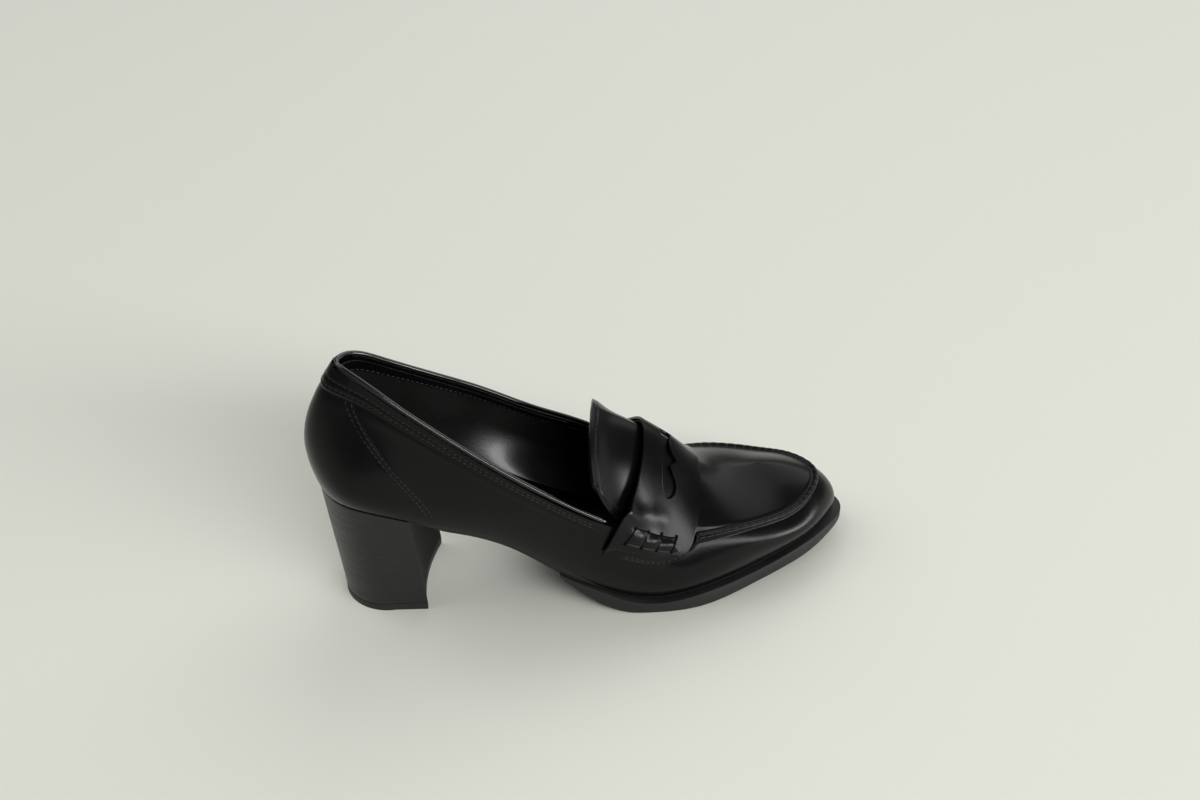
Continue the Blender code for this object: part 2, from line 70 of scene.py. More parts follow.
# Thicknesses
UPPER_WALL = 2.2
TONGUE_WALL = 1.8
STRAP_WALL = 2.0
INSOLE_WALL = 2.2
SEAT_WALL = 1.0
WAIST_WALL = 3.2
STEP_WALL = 4.7
FOREPART_WALL = 1.2
LINING_WALL = 0.6
GRIP_WALL = 0.8

# The last, as in the part's source
Station = namedtuple(
    "Station",
    "name feather_x feather_mid feather_half low_out low_up high_out high_down "
    "shoulder_x shoulder_mid shoulder_half shoulder_z ridge_x ridge_y ridge_z",
)
STATIONS = (
    Station("heel_back", 6.5, 4, 0, 4, 15, 20, 30, 18, 1.5, 0, 121.5, 50, 1, 136),
    Station("heel_corner", 15, 2, 18, 8, 16, 8, 30, 27, 2, 9, 121.5, 52, 1, 135.5),
    Station("heel_side", 38, 1.5, 24, 6.5, 17, 3, 28, 42.5, 0, 16, 115, 62, 0, 131.5),
    Station("waist_back", 72, -2, 23.5, 6, 16, 5.5, 24, 77, -2, 25, 102, 84, -2, 121),
    Station("waist", 105, -5.5, 27, 4.5, 14, 6.5, 18, 108, -6.5, 30.5, 87, 108, -5, 96),
    Station("ball_back", 136, -5, 34.5, 4.5, 11, 8, 9.5, 137.5, -4, 33, 47, 134.5, -1, 80),
    Station("ball", 162.5, -3.5, 38, 4.5, 9, 7.5, 8.5, 156, -4.5, 32.5, 33.5, 157, -2, 63.5),
    Station("toe_joint", 193.5, 0, 32.5, 5, 8, 9, 7, 185, -4.5, 30.5, 34, 179, -3, 45.2),
    Station("toe_side", 217, 1, 23.5, 5, 7, 8, 6, 211, -0.5, 23, 29.5, 192, -1, 41.5),
    Station("toe_corner", 232.5, 1, 11.5, 3, 7, 6.5, 6, 224, 0, 12.5, 31, 199, 0, 41),
    Station("toe_tip", 239, 0, 0, 1, 7, 8, 6, 229.5, 0, 0, 31.5, 201, 0, 41),
)
Height = namedtuple("Height", "x z")
FEATHER_HEIGHTS = rows_of(
    Height, (0, 62.5), (20, 62), (45, 53), (72, 44), (100, 28.5), (125, 12), (145, 7.5), (165, 9.5),
    (195, 11), (220, 13.5), (240, 13),
)
COLLAR_HEIGHTS = rows_of(
    Height, (-5, 121.5), (15, 122.5), (40, 109), (70, 87.5), (100, 68.5), (120, 56), (131, 49.5),
    (142, 45), (152, 41.5),
)
COLLAR_TILT = 0.04
CROWN_IN = 0.58
CROWN_UP = 0.9
THROAT_BACK_WAY = 128
THROAT_FRONT_WAY = 180
ARCH_LIFT = 3.0
ARCH_X = 98
ARCH_REACH = 34

# Upper: counter, collar band, moccasin seam, and the leather's own soft swells
COUNTER_FOOT_WAY = 59
COUNTER_TOP_WAY = 18.5
COUNTER_END_WAY = 110
COUNTER_STEP = 0.25
COUNTER_SLOPE = 0.75
COUNTER_BEND = 1.25
COUNTER_EDGE = 1.2
COUNTER_GROOVE = 0.4
GROOVE_DEPTH = 0.14
COUNTER_ROWS = (1.2, 3.2)
BAND_START = 0.893
BAND_REACH = 0.014
BAND_STEP = 0.6
BAND_END_WAY = 126
BAND_ROWS = (0.916, 0.95)
BAND_GROOVE = 0.006
BAND_FADE = 6
SEAM_RISE = 1.5
SEAM_SHARE = 0.508
SEAM_HALF = 0.024
SEAM_START_OUTER = 173
SEAM_START_INNER = 181
SEAM_START_REACH = 8
SEAM_PITCH = 3.8
SEAM_PINCH = 0.5
SEAM_PINCH_SHARP = 16
SEAM_PLAIN = 0.6
SEAM_VALLEY = 0.35
SEAM_VALLEY_OFF = 1.15
SEAM_VALLEY_REACH = 0.35
# Column and row runs of the upper's mesh: where each run ends, and its number of columns or rows
COLUMN_RUNS = ((52, 14), (61, 22), (128, 26), (172, 20), (None, 130))
ROW_RUNS = ((0.45, 22), (0.565, 24), (0.86, 12), (0.97, 22), (1.0, 4))
# Soft troughs, below 0, and swells: middle way and share, reach each way and height
Swell = namedtuple("Swell", "way share way_reach share_reach rise")
SWELLS = rows_of(Swell, (72, 0.845, 50, 0.03, 0.35), (194, 0.86, 12, 0.2, -0.15))

# Saddle strap, its slot and the tongue, as in the part's source
EdgeRow = namedtuple("EdgeRow", "side rear front")
STRAP = rows_of(
    EdgeRow, (0, 157, 190), (0.1, 155, 188.5), (0.23, 151.2, 185.7), (0.35, 145.2, 183),
    (0.42, 140.8, 181), (0.48, 137, 178.3), (0.54, 134, 174.8), (0.6, 132, 169.5), (0.65, 130.6, 162.5),
    (0.7, 129.2, 150), (0.775, 127, 134),
)
STRAP_SKEW = 15
STRAP_GAP = 0.7
STRAP_END_REAR = 0.775
STRAP_END_FRONT = 0.7
# The fold where the strap's body stands on its sewn foot, and the stitches of the foot, by way and side
FoldPoint = namedtuple("FoldPoint", "way side")
STRAP_FOLD = rows_of(
    FoldPoint, (127, 0.75), (132, 0.7), (142.5, 0.656), (154, 0.632), (166, 0.612), (176, 0.57),
)
STRAP_FOLD_STEP = 0.5
STRAP_FOLD_REACH = 0.02
STRAP_FOOT = rows_of(FoldPoint, (136, 0.722), (146, 0.694), (156, 0.666), (163, 0.634), (169, 0.59))
STRAP_FOOT_ROWS = (0.0, -0.013)
PAD_RISE = 0.9
PAD_FULL = 0.6
# A soft roll of the strap just above its lacing: how far above, how wide, how high and where it fades
STRAP_ROLL_OFF = 0.055
STRAP_ROLL_REACH = 0.03
STRAP_ROLL_RISE = 0.6
STRAP_ROLL_FADE = 14
# Slot of the strap: its front edge in three runs that meet at a cusp and at the tip of the notch, by the
# side over the last and the way ahead of the slot's line
SlotPoint = namedtuple("SlotPoint", "side ahead")
SLOT_LOBE = rows_of(
    SlotPoint, (-0.36, 8.0), (-0.31, 8.5), (-0.285, 7.9), (-0.26, 6.6), (-0.235, 4.9), (-0.212, 3.8),
)
SLOT_NOTCH = rows_of(SlotPoint, (-0.212, 3.8), (-0.19, 5.3), (-0.162, 7.8))
SLOT_FAR_LOBE = rows_of(
    SlotPoint, (-0.162, 7.8), (-0.145, 6.2), (-0.125, 4.7), (-0.1, 3.8), (-0.06, 3.8), (-0.02, 4.7),
    (0.03, 6.4), (0.075, 8.2), (0.13, 9.0),
)
SLOT_OUTER_END = -0.356
SLOT_INNER_END = 0.118
SLOT_WAY = 166
SLOT_BEND = 45
SLOT_REAR = -0.7
SLOT_CLOSE = 3.4
SLOT_ACROSS = 0.4
SLOT_SQUARE = 8
SLOT_OVERRUN = 1.01
SLOT_LINES = 73
SLOT_ROUNDS = 14
STRAP_TOP_WALL = 1.1
STRAP_FRONT_DROP = 1.4
STRAP_DROP_START = 0.4
STRAP_COLUMNS = 22
STRAP_END_LINES = 64
STRAP_EDGE = 0.25
BACKING_LENGTH = 0.985
BACKING_MARGIN = 0.02
BACKING_INSET = 0.2
BACKING_INSET_END = 0.5
BACKING_INSET_REACH = 0.15
BACKING_GRID = (16, 120)
BACKING_EDGE = 0.2
PLY_GAP = 0.05
TONGUE = rows_of(
    EdgeRow, (0, 131, 190), (0.1, 128.7, 187), (0.24, 125.2, 181), (0.38, 123.2, 175), (0.46, 123.7, 171),
    (0.505, 124.3, 168), (0.54, 126, 166), (0.565, 129.3, 165), (0.585, 134, 164),
)
TONGUE_END = 0.585
TONGUE_GAP = 0.7
TONGUE_RISE = 2.4
TONGUE_DIP = 4
TONGUE_DIP_REACH = 10
TONGUE_SKEW = 30
TONGUE_FLARE = 1.6
TONGUE_FLARE_INNER = 2.8
TONGUE_FLARE_REACH = 8.0
TONGUE_MIDDLE = 0.56
TONGUE_MIDDLE_REACH = 0.3
TONGUE_CURL_SIDES = (-0.05, 0.15)
TONGUE_CROWDING = 1.4
TONGUE_GRID = (56, 110)
TONGUE_EDGE = 0.7
TONGUE_EDGE_STEPS = 3
TONGUE_STITCH_IN = 2.6
TONGUE_STITCH_END = 0.5
TONGUE_GROOVE = 0.5
TONGUE_GROOVE_DEPTH = 0.15

# Lacing of the strap's ends: the way and the height up of each hole on the outer one
Hole = namedtuple("Hole", "way up")
LACING_UPPER = rows_of(Hole, (139.3, 0.9), (146.4, 0.965), (155.7, 1.015), (167, 1.03))
LACING_LOWER = rows_of(Hole, (135.7, 0.705), (143.1, 0.76), (151.7, 0.82), (162, 0.86))
HOLE_HALF = 0.9
HOLE_REACH = 0.9
HOLE_UP_LENGTH = 28

# Rows of stitches: how far they keep from the ends of what they hold
STITCH_MARGIN = 2
BAND_STITCH_END = 4
COUNTER_STITCH_FOOT = 0.12
COUNTER_STITCH_TOP = 0.03
SEAM_STITCH_START = 4
SEAM_STITCH_REACH = 1.05
SEAM_THREAD = 1.5
# A pitch longer than any short path, for one stitch on it
ONE_STITCH = 99

# Collar binding and the pieces inside it
BINDING_RADIUS = 1.1
BINDING_GAP = 0.4
BINDING_END_OUTER = 129
BINDING_END_INNER = 137
BINDING_TAPER = 3
BINDING_GRID = (260, 12)
LINING_END_WAY = 150
LINING_SHARES = (0.07, 0.93)
LINING_LEAN = 10
LINING_LEAN_WAY = 114
LINING_LEAN_REACH = 32
LINING_LEAN_SHARE = 0.65
LINING_GRID = (110, 30)
LINING_EDGE = 0.2
GLUE = 0.1
GRIP_END_WAY = 47
GRIP_SHARES = (0.12, 0.925)
FACING_WALL = 0.6
FACING_SHARES = (0.925, 0.995)
FACING_END_WAY = 124
FACING_STITCH = 0.934

# Sole and heel, as in the part's source
WELT = 2.7
TOE_WELT = 1.0
TOE_WELT_REACH = 50
WELT_START = 0.15
WELT_START_REACH = 0.25
SOLE_EDGE_INSET = 0.6
MIDSOLE_INSET = 0.6
SEAT_INSET = 1.2
SEAT_END_X = 44
SEAT_FADE = 14
STEP_X = 104
STEP_HEIGHT = 19
STEP_SWELL = 24
STEP_FADE = 20
FLAT_BACK_X = 137
FLAT_FRONT_X = 162
TOE_SPRING = 6.5
TOE_SPRING_CURVE = 1.35
TOE_X = 238
HEEL_INSET = 0.4
HEEL_TOP_FRONT_OUTER = 41.5
HEEL_TOP_FRONT_INNER = 53
HEEL_FOOT_RADIUS = 19.6
HEEL_FOOT_CENTRE = (33, 2)
HEEL_FOOT_FRONT_OUTER = (47, -20)
HEEL_FOOT_FRONT_INNER = (58.5, 22.5)
HEEL_ROUND_SHARE = 0.6
BREAST_HOLLOW = 3.2
BREAST_FACING = 0.75
INSOLE_DISH = 0.8
TOP_LIFT = 3.5
TREAD_START_X = 128
TREAD_END_X = 226
TREAD_PITCH = 4.0
TREAD_DEPTH = 0.7
TREAD_MARGIN = 0.12
TREAD_EDGE = 0.03
TREAD_FADE = 4
TREAD_CUT = 0.55
TREAD_FLANK = 0.2

# Camera: what it looks at, how far off and from where, for a frame of 1200 by 800
CAMERA_TARGET = (6.1, 3.9, 87.57)
CAMERA_DISTANCE = 713.05
CAMERA_ELEVATION = math.radians(36.4645)
CAMERA_AZIMUTH = math.radians(-12.0363)
CAMERA_LENS = 50
CAMERA_SENSOR = 36
CAMERA_REACH = 100
FLOOR_HALF = 8000
FLOOR_FLAT = 3500
FLOOR_SWEEP = 12000
FLOOR_GRID = (80, 80)

# Soft boxes, in metres, degrees and watts: name, place, what it faces, size, lean and power
SOFT_BOXES = (
    ("front_right_soft_box", (1.13, -1.81, 1.12), (0, 0, 0.03), (2.8, 0.6), -30, 50),
    ("back_right_soft_box", (0.9, 1.2, 1.35), (0, 0, 0.03), (2.2, 1.8), 0, 14),
    ("low_right_soft_box", (2.25, -0.75, 0.2), (0, 0, 0.03), (0.9, 0.5), 0, 18),
    ("overhead_soft_box", (-1.5, 0.6, 2.0), (0, 0, 0), (2.2, 2.2), 0, 24),
)
WORLD_STRENGTH = 0.2
WORLD_COLOUR = "#e8e8e6"
SHARP_ANGLE = math.radians(50)


def linear(colour):
    """An sRGB hex colour as linear red, green, blue and alpha."""
    parts = [int(colour[i : i + 2], 16) / 255 for i in (1, 3, 5)]
    return tuple(p / 12.92 if p <= 0.04045 else ((p + 0.055) / 1.055) ** 2.4 for p in parts) + (1.0,)


def colour_property(name, description, colour):
    return bpy.props.FloatVectorProperty(
        name=name, description=description, subtype="COLOR", size=4, min=0, max=1, default=linear(colour)
    )


def length_property(name, description, size):
    return bpy.props.FloatProperty(
        name=name, description=description, unit="LENGTH", subtype="DISTANCE", precision=5, default=size * MM
    )


class LoaferFinish(bpy.types.PropertyGroup):
    """Colours of the shoe and its studio."""

    calf: colour_property("Calf", "Smooth black leather of the upper", "#070708")
    lining: colour_property("Lining", "Glazed leather inside the quarters", "#131211")
    grip: colour_property("Heel grip", "Suede at the back of the lining", "#070606")
    thread: colour_property("Thread", "Waxed sewing thread", "#0c0c0c")
    heel: colour_property("Heel", "Inked stacked leather of the heel", "#0c0c0c")
    sole_edge: colour_property("Sole edge", "Inked edge of the midsole", "#060606")
    rubber: colour_property("Rubber", "Moulded sole and top lift", "#111111")
    floor: colour_property("Floor", "Pale studio floor", "#e4e6dc")


class LoaferSizes(bpy.types.PropertyGroup):
    """Sizes of the finer work."""

    stitch_pitch: length_property("Stitch pitch", "From one machine stitch to the next", 2.5)
    stitch_length: length_property("Stitch length", "Seen part of a machine stitch", 1.9)
    thread_radius: length_property("Thread radius", "Half the width of the sewing thread", 0.22)
    lace_radius: length_property("Lacing radius", "Half the width of the strap's lacing", 0.9)
    grain: length_property("Leather grain", "Size of a pebble of the calf's grain", 0.55)
    heel_layer: length_property("Heel layer", "Thickness of a leather layer in the heel", 1.6)


def finish():
    return bpy.context.scene.loafer_finish


def sizes():
    return bpy.context.scene.loafer_sizes


def in_frame(points):
    return (points - CENTRE) * MM


def spline(knots, values, closed=False):
    """A smooth line through rows of values, one for each knot. A closed one ends where it begins."""
    knots = np.asarray(knots, float)
    values = np.asarray(values, float).reshape(len(knots), -1)
    steps = np.diff(knots)
    slopes = np.diff(values, axis=0) / steps[:, None]
    system = np.eye(len(knots))
    push = np.zeros_like(values)
    for i in range(1, len(knots) - 1):
        system[i, i - 1 : i + 2] = steps[i - 1], 2 * (steps[i - 1] + steps[i]), steps[i]
        push[i] = 6 * (slopes[i] - slopes[i - 1])
    if closed:
        system[0, -1] = -1
        system[-1, [0, 1, -2, -1]] = 2 * steps[0], steps[0], steps[-1], 2 * steps[-1]
        push[-1] = 6 * (slopes[0] - slopes[-1])
    bends = np.linalg.solve(system, push)

    def at(where):
        where = np.asarray(where, float)
        i = np.clip(np.searchsorted(knots, where, side="right") - 1, 0, len(steps) - 1)
        step = steps[i][..., None]
        b = (where - knots[i])[..., None] / step
        a = 1 - b
        curve = (a**3 - a) * bends[i] + (b**3 - b) * bends[i + 1]
        return a * values[i] + b * values[i + 1] + curve * step**2 / 6

    return at


def table_line(rows, key, column):
    """One column of a table as a smooth line over its key column."""
    line = spline([getattr(row, key) for row in rows], [getattr(row, column) for row in rows])
    return lambda where: line(where)[..., 0]


def smooth_step(t):
    t = np.clip(t, 0, 1)
    return t * t * (3 - 2 * t)


def hump(t):
    return np.exp(-(t**2))


seat_line = table_line(FEATHER_HEIGHTS, "x", "z")
collar_line = table_line(COLLAR_HEIGHTS, "x", "z")
strap_rear = table_line(STRAP, "side", "rear")
strap_front = table_line(STRAP, "side", "front")
tongue_rear = table_line(TONGUE, "side", "rear")
tongue_front = table_line(TONGUE, "side", "front")


def station_row(station, side):
    """The values of one station on the outer side, -1, or the inner side, 1."""
    return (
        station.feather_x,
        station.feather_mid + side * station.feather_half,
        station.low_out,
        station.low_up,
        station.high_out,
        station.high_down,
        station.shoulder_x,
        station.shoulder_mid + side * station.shoulder_half,
        station.shoulder_z,
        station.ridge_x,
        station.ridge_y,
        station.ridge_z,
    )


def last_lines():
    """The closed lines of the last, and how far it is round from the heel's back to the toe's tip."""
    outer = np.array([station_row(s, -1) for s in STATIONS], float)
    inner = np.array([station_row(s, 1) for s in STATIONS], float)
    strides = [np.linalg.norm(np.diff(side[:, :2], axis=0), axis=1) for side in (outer, inner)]
    half = np.concatenate([[0], np.cumsum((strides[0] + strides[1]) / 2)])
    knots = np.concatenate([half, 2 * half[-1] - half[-2::-1]])
    return spline(knots, np.vstack([outer, inner[-2::-1]]), closed=True), half[-1]


LAST, TOE_WAY = last_lines()


def feather_plan(way, out=0.0):
    """The feather line seen from above, moved out by a margin, and its outward direction."""
    reach = 0.05
    ahead = LAST(np.mod(way + reach, 2 * TOE_WAY))[..., :2]
    behind = LAST(np.mod(way - reach, 2 * TOE_WAY))[..., :2]
    along = (ahead - behind) / np.linalg.norm(ahead - behind, axis=-1, keepdims=True)
    normal = np.stack([along[..., 1], -along[..., 0]], axis=-1)
    return LAST(np.mod(way, 2 * TOE_WAY))[..., :2] + normal * np.asarray(out, float)[..., None], normal


def seat_height(x, across):
    """The height of the foot's bed: across is 0 at the outer edge and 1 at the inner one."""
    return seat_line(x) + ARCH_LIFT * hump((x - ARCH_X) / ARCH_REACH) * across


def stack(plan, z):
    return np.concatenate([plan, z[..., None]], axis=-1)


def unit(vectors):
    return vectors / np.linalg.norm(vectors, axis=-1, keepdims=True)


def last_point(way, up):
    """A point of the last, which is the outside of the upper's leather."""
    way, up = np.broadcast_arrays(np.mod(way, 2 * TOE_WAY), np.asarray(up, float))
    lines = LAST(way)
    plan, normal = feather_plan(way)
    feather = stack(plan, seat_height(plan[..., 0], (way > TOE_WAY).astype(float)))
    outwards = stack(normal, np.zeros_like(plan[..., 0]))
    upwards = np.array([0.0, 0.0, 1.0])
    shoulder = lines[..., 6:9]
    ridge = lines[..., 9:12]
    low = feather + outwards * lines[..., 2:3] + upwards * lines[..., 3:4]
    high = shoulder + outwards * lines[..., 4:5] - upwards * lines[..., 5:6]
    crown = shoulder + (ridge - shoulder) * (CROWN_IN, CROWN_IN, CROWN_UP)
    s = np.clip(up, 0, 1)[..., None]
    r = np.clip(up - 1, 0, 1)[..., None]
    wall = (1 - s) ** 3 * feather + 3 * s * (1 - s) ** 2 * low + 3 * s**2 * (1 - s) * high + s**3 * shoulder
    cap = (1 - r) ** 2 * shoulder + 2 * r * (1 - r) * crown + r**2 * ridge
    return np.where(up[..., None] <= 1, wall, cap)


def last_normal(way, up):
    reach = NORMAL_REACH
    up_low = np.clip(up - reach, 0, 2 - 2 * reach)
    along = last_point(way + 1.0, up) - last_point(way - 1.0, up)
    return unit(np.cross(along, last_point(way, up_low + 2 * reach) - last_point(way, up_low)))


def lifted(way, up, lift):
    """A point that stands off the last by a lift along its outward normal."""
    return last_point(way, up) + last_normal(way, up) * np.asarray(lift, float)[..., None]


def over_point(way, side, lift):
    """A lifted point on the way over the last: side is -1 at the outer feather, 0 on the ridge and 1 at the
    inner feather."""
    return lifted(np.where(side > 0, 2 * TOE_WAY - way, way), 2 - 2 * np.abs(side), lift)


def collar_table():
    """Ways round the last, and how far up the collar cuts it, or 2 where the upper runs on to the ridge."""
    ways = np.linspace(0, 2 * TOE_WAY, 721)
    ups = np.linspace(0, 2, 401)
    points = last_point(ways[:, None], ups)
    above = points[..., 2] - collar_line(points[..., 0]) - COLLAR_TILT * points[..., 1]
    first = np.argmax(above > 0, axis=1)
    before = np.maximum(first - 1, 0)
    rows = np.arange(len(ways))
    low, high = above[rows, before], above[rows, first]
    part = np.where(first > 0, -low / np.where(first > 0, high - low, 1), 0)
    cut = ups[before] + part * ups[1]
    near_way = np.minimum(ways, 2 * TOE_WAY - ways)
    throat = 2 * (near_way - THROAT_BACK_WAY) / (THROAT_FRONT_WAY - THROAT_BACK_WAY)
    return ways, np.clip(np.maximum(cut, throat), 0, 2)


COLLAR_WAYS, COLLAR_UPS = collar_table()


def collar_up(way):
    return np.interp(np.mod(way, 2 * TOE_WAY), COLLAR_WAYS, COLLAR_UPS)


def counter_lean(share):
    """How much of its foot's way a column of the upper still has at a share of its height."""
    return 1 + (COUNTER_TOP_WAY / COUNTER_FOOT_WAY - 1) * smooth_step(share**COUNTER_BEND)


def upper_relief(foot_way, way, share, inner):
    """What stands on the upper: the counter, the collar band, the moccasin seam and soft swells."""
    behind = (COUNTER_FOOT_WAY - foot_way) * counter_lean(share) * COUNTER_SLOPE
    relief = COUNTER_STEP * smooth_step(behind / COUNTER_EDGE + 0.5)
    for row in COUNTER_ROWS:
        relief -= GROOVE_DEPTH * hump((behind - row) / COUNTER_GROOVE)
    front = smooth_step((BAND_END_WAY - way) / BAND_FADE)
    relief += BAND_STEP * smooth_step((share - BAND_START) / BAND_REACH) * front
    for row in BAND_ROWS:
        relief -= GROOVE_DEPTH * hump((share - row) / BAND_GROOVE) * front
    start = np.where(inner, SEAM_START_INNER, SEAM_START_OUTER)
    ridge = smooth_step(1 - np.abs(share - SEAM_SHARE) / SEAM_HALF)
    pinch = 1 - SEAM_PINCH * np.cos(np.pi * (way - TOE_WAY) / SEAM_PITCH) ** SEAM_PINCH_SHARP
    off = share - SEAM_SHARE - SEAM_VALLEY_OFF * SEAM_HALF
    valley = SEAM_VALLEY * hump(off / (SEAM_VALLEY_REACH * SEAM_HALF))
    seam = SEAM_RISE * ridge * (SEAM_PLAIN + (1 - SEAM_PLAIN) * pinch) - valley
    relief += seam * smooth_step((way - start) / SEAM_START_REACH)
    for swell in SWELLS:
        away = hump((way - swell.way) / swell.way_reach)
        relief += swell.rise * away * hump((share - swell.share) / swell.share_reach)
    return relief


def upper_place(foot_way, share, inner, off=0.0):
    """A point of the upper's outside. Its columns lean back from foot to top, as the counter's seam does."""
    bounds = (0, COUNTER_FOOT_WAY, COUNTER_END_WAY, TOE_WAY)
    top_way = np.interp(foot_way, bounds, (0, COUNTER_TOP_WAY, COUNTER_END_WAY, TOE_WAY))
    way = foot_way + (top_way - foot_way) * smooth_step(share**COUNTER_BEND)
    lift = upper_relief(foot_way, way, share, inner) + off
    way = np.where(inner, 2 * TOE_WAY - way, way)
    way = np.where(np.isclose(way, 2 * TOE_WAY), 0, way)
    return lifted(way, collar_up(way) * share, lift)


def runs_to(runs, start, last):
    """Places of a mesh's lines: each run goes on to its end in so many equal steps."""
    places = [start]
    for end, count in runs:
        places += list(np.linspace(places[-1], last if end is None else end, count + 1)[1:])
    return np.array(places)


def spread(t, places):
    return np.interp(t, np.linspace(0, 1, len(places)), places)


def corners_of(piece):
    flat = np.empty(len(piece.data.vertices) * 3, np.float32)
    piece.data.vertices.foreach_get("co", flat)
    return flat.reshape(-1, 3).astype(float)


def move_corners(piece, places):
    piece.data.vertices.foreach_set("co", places.astype(np.float32).ravel())
    piece.data.update()


def make_active(piece):
    bpy.ops.object.select_all(action="DESELECT")
    piece.select_set(True)
    bpy.context.view_layer.objects.active = piece


def add_grid(columns, rows, point):
    """A grid whose corners, at u and v from 0 to 1, move to point(u, v)."""
    bpy.ops.object.select_all(action="DESELECT")
    bpy.ops.mesh.primitive_grid_add(x_subdivisions=columns, y_subdivisions=rows, size=2)
    piece = bpy.context.object
    flat = corners_of(piece) / 2 + 0.5
    move_corners(piece, in_frame(point(flat[:, 0], flat[:, 1])))
    return piece


def join(pieces):
    make_active(pieces[0])
    for piece in pieces:
        piece.select_set(True)
    bpy.ops.object.join()
    return pieces[0]


def weld(piece, outwards=False):
    """Merges corners that meet, and turns the faces of a closed solid outwards."""
    make_active(piece)
    bpy.ops.object.mode_set(mode="EDIT")
    bpy.ops.mesh.select_all(action="SELECT")
    bpy.ops.mesh.remove_doubles(threshold=WELD_REACH * MM)
    if outwards:
        bpy.ops.mesh.normals_make_consistent(inside=False)
    bpy.ops.object.mode_set(mode="OBJECT")
    return piece


def apply_modifier(piece, kind, **settings):
    make_active(piece)
    modifier = piece.modifiers.new(kind.title(), kind)
    for key, value in settings.items():
        setattr(modifier, key, value)
    bpy.ops.object.modifier_apply(modifier=modifier.name)


def thicken(piece, wall, even=True):
    """Gives a sheet its thickness on the inside."""
    apply_modifier(piece, "SOLIDIFY", thickness=wall * MM, offset=-1, use_even_offset=even)


def soften(piece, width, segments=2):
    """Rounds the sharp edges."""
    angle = {"limit_method": "ANGLE", "angle_limit": SHARP_ANGLE}
    apply_modifier(piece, "BEVEL", width=width * MM, segments=segments, **angle)


def block(segments, point):
    """A box of so many segments along, across and up, whose corners move to point(along, across, up)."""
    sides = []
    for axis in range(3):
        others = [i for i in range(3) if i != axis]
        for end in (0.0, 1.0):

            def face(u, v):
                place = {axis: np.full_like(u, end), others[0]: u, others[1]: v}
                return point(place[0], place[1], place[2])

            sides.append(add_grid(segments[others[0]], segments[others[1]], face))
    return weld(join(sides), outwards=True)


def dress(piece, name, slot, *materials, replaces=()):
    """Names a finished piece, gives it its materials and ties it to the frame."""
    piece.name = name
    piece.data.name = name
    for material in materials:
        piece.data.materials.append(material)
    make_active(piece)
    bpy.ops.object.shade_smooth_by_angle(angle=SHARP_ANGLE)
    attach(piece, "root")
    if replaces:
        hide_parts(*replaces)
    return piece


def fill(tree, made, inputs):
    """Sets the inputs of a node: a socket is linked, and any other value is set."""
    for key, value in inputs.items():
        if isinstance(value, bpy.types.NodeSocket):
            tree.links.new(value, made.inputs[key])
        else:
            made.inputs[key].default_value = value


def node(tree, kind, inputs=None, **settings):
    """Adds a node with its settings, its constant inputs and its links."""
    made = tree.nodes.new(kind)
    for key, value in settings.items():
        setattr(made, key, value)
    fill(tree, made, inputs or {})
    return made


def per_mm(size):
    """The texture scale that repeats every so many millimetres."""
    return 1 / (size * MM)


def new_material(name):
    """A material, its tree and the object coordinates that its patterns are laid on."""
    material = bpy.data.materials.new(name)
    material.use_nodes = True
    tree = material.node_tree
    return material, tree, node(tree, "ShaderNodeTexCoord").outputs["Object"]


def shade_of(colour, factor):
    return tuple(min(1.0, part * factor) for part in colour[:3]) + (1.0,)


def set_looks(material, colour, height, strength, depth, drift=None, tones=None, gloss=None, **inputs):
    """Gives a material relief from one pattern, and a tone and a gloss that can drift with another."""
    tree = material.node_tree
    relief = {"Height": height, "Strength": strength, "Distance": depth * MM}
    looks = {"Base Color": colour, "Normal": node(tree, "ShaderNodeBump", relief).outputs[0]}
    if tones:
        mix = {"Factor": drift, 6: shade_of(colour, tones[0]), 7: shade_of(colour, tones[1])}
        looks["Base Color"] = node(tree, "ShaderNodeMix", mix, data_type="RGBA").outputs[2]
    if gloss:
        polish = {"Value": drift, 1: 0.3, 2: 0.7, 3: gloss[0], 4: gloss[1]}
        looks["Roughness"] = node(tree, "ShaderNodeMapRange", polish).outputs[0]
    for key, value in inputs.items():
        looks[key.replace("_", " ")] = value
    fill(tree, tree.nodes["Principled BSDF"], looks)
    return material


def leather(name, colour, roughness, specular, coat, grain, strength):
    """Finished leather: a fine pebbled grain with pores, and a gloss that drifts where it was polished."""
    material, tree, place = new_material(name)
    pebbles = {"Vector": place, "Scale": per_mm(grain)}
    pebble = node(tree, "ShaderNodeTexVoronoi", pebbles, feature="SMOOTH_F1").outputs["Distance"]
    pores = {"Vector": place, "Scale": per_mm(grain / 3), "Detail": 3}
    fine = node(tree, "ShaderNodeTexNoise", pores).outputs["Fac"]
    patches = {"Vector": place, "Scale": per_mm(16), "Detail": 5, "Roughness": 0.6}
    drift = node(tree, "ShaderNodeTexNoise", patches).outputs["Fac"]
    height = node(tree, "ShaderNodeMath", {0: pebble, 1: fine}).outputs[0]
    return set_looks(
        material,
        colour,
        height,
        strength,
        depth=0.15,
        drift=drift,
        tones=(0.75, 1.4),
        gloss=(roughness - 0.04, roughness + 0.05),
        IOR=1.5,
        Specular_IOR_Level=specular,
        Coat_Weight=coat,
        Coat_Roughness=0.12,
    )


def surface(name, colour, grain, detail, strength, depth, patch=None, **looks):
    """A plain surface with a fine relief, whose tone and gloss can drift in patches or along the relief."""
    material, tree, place = new_material(name)
    patterns = []
    for size, fineness in ((grain, detail), patch) if patch else ((grain, detail),):
        noise = {"Vector": place, "Scale": per_mm(size), "Detail": fineness}
        patterns.append(node(tree, "ShaderNodeTexNoise", noise).outputs["Fac"])
    return set_looks(material, colour, patterns[0], strength, depth, patterns[-1], **looks)


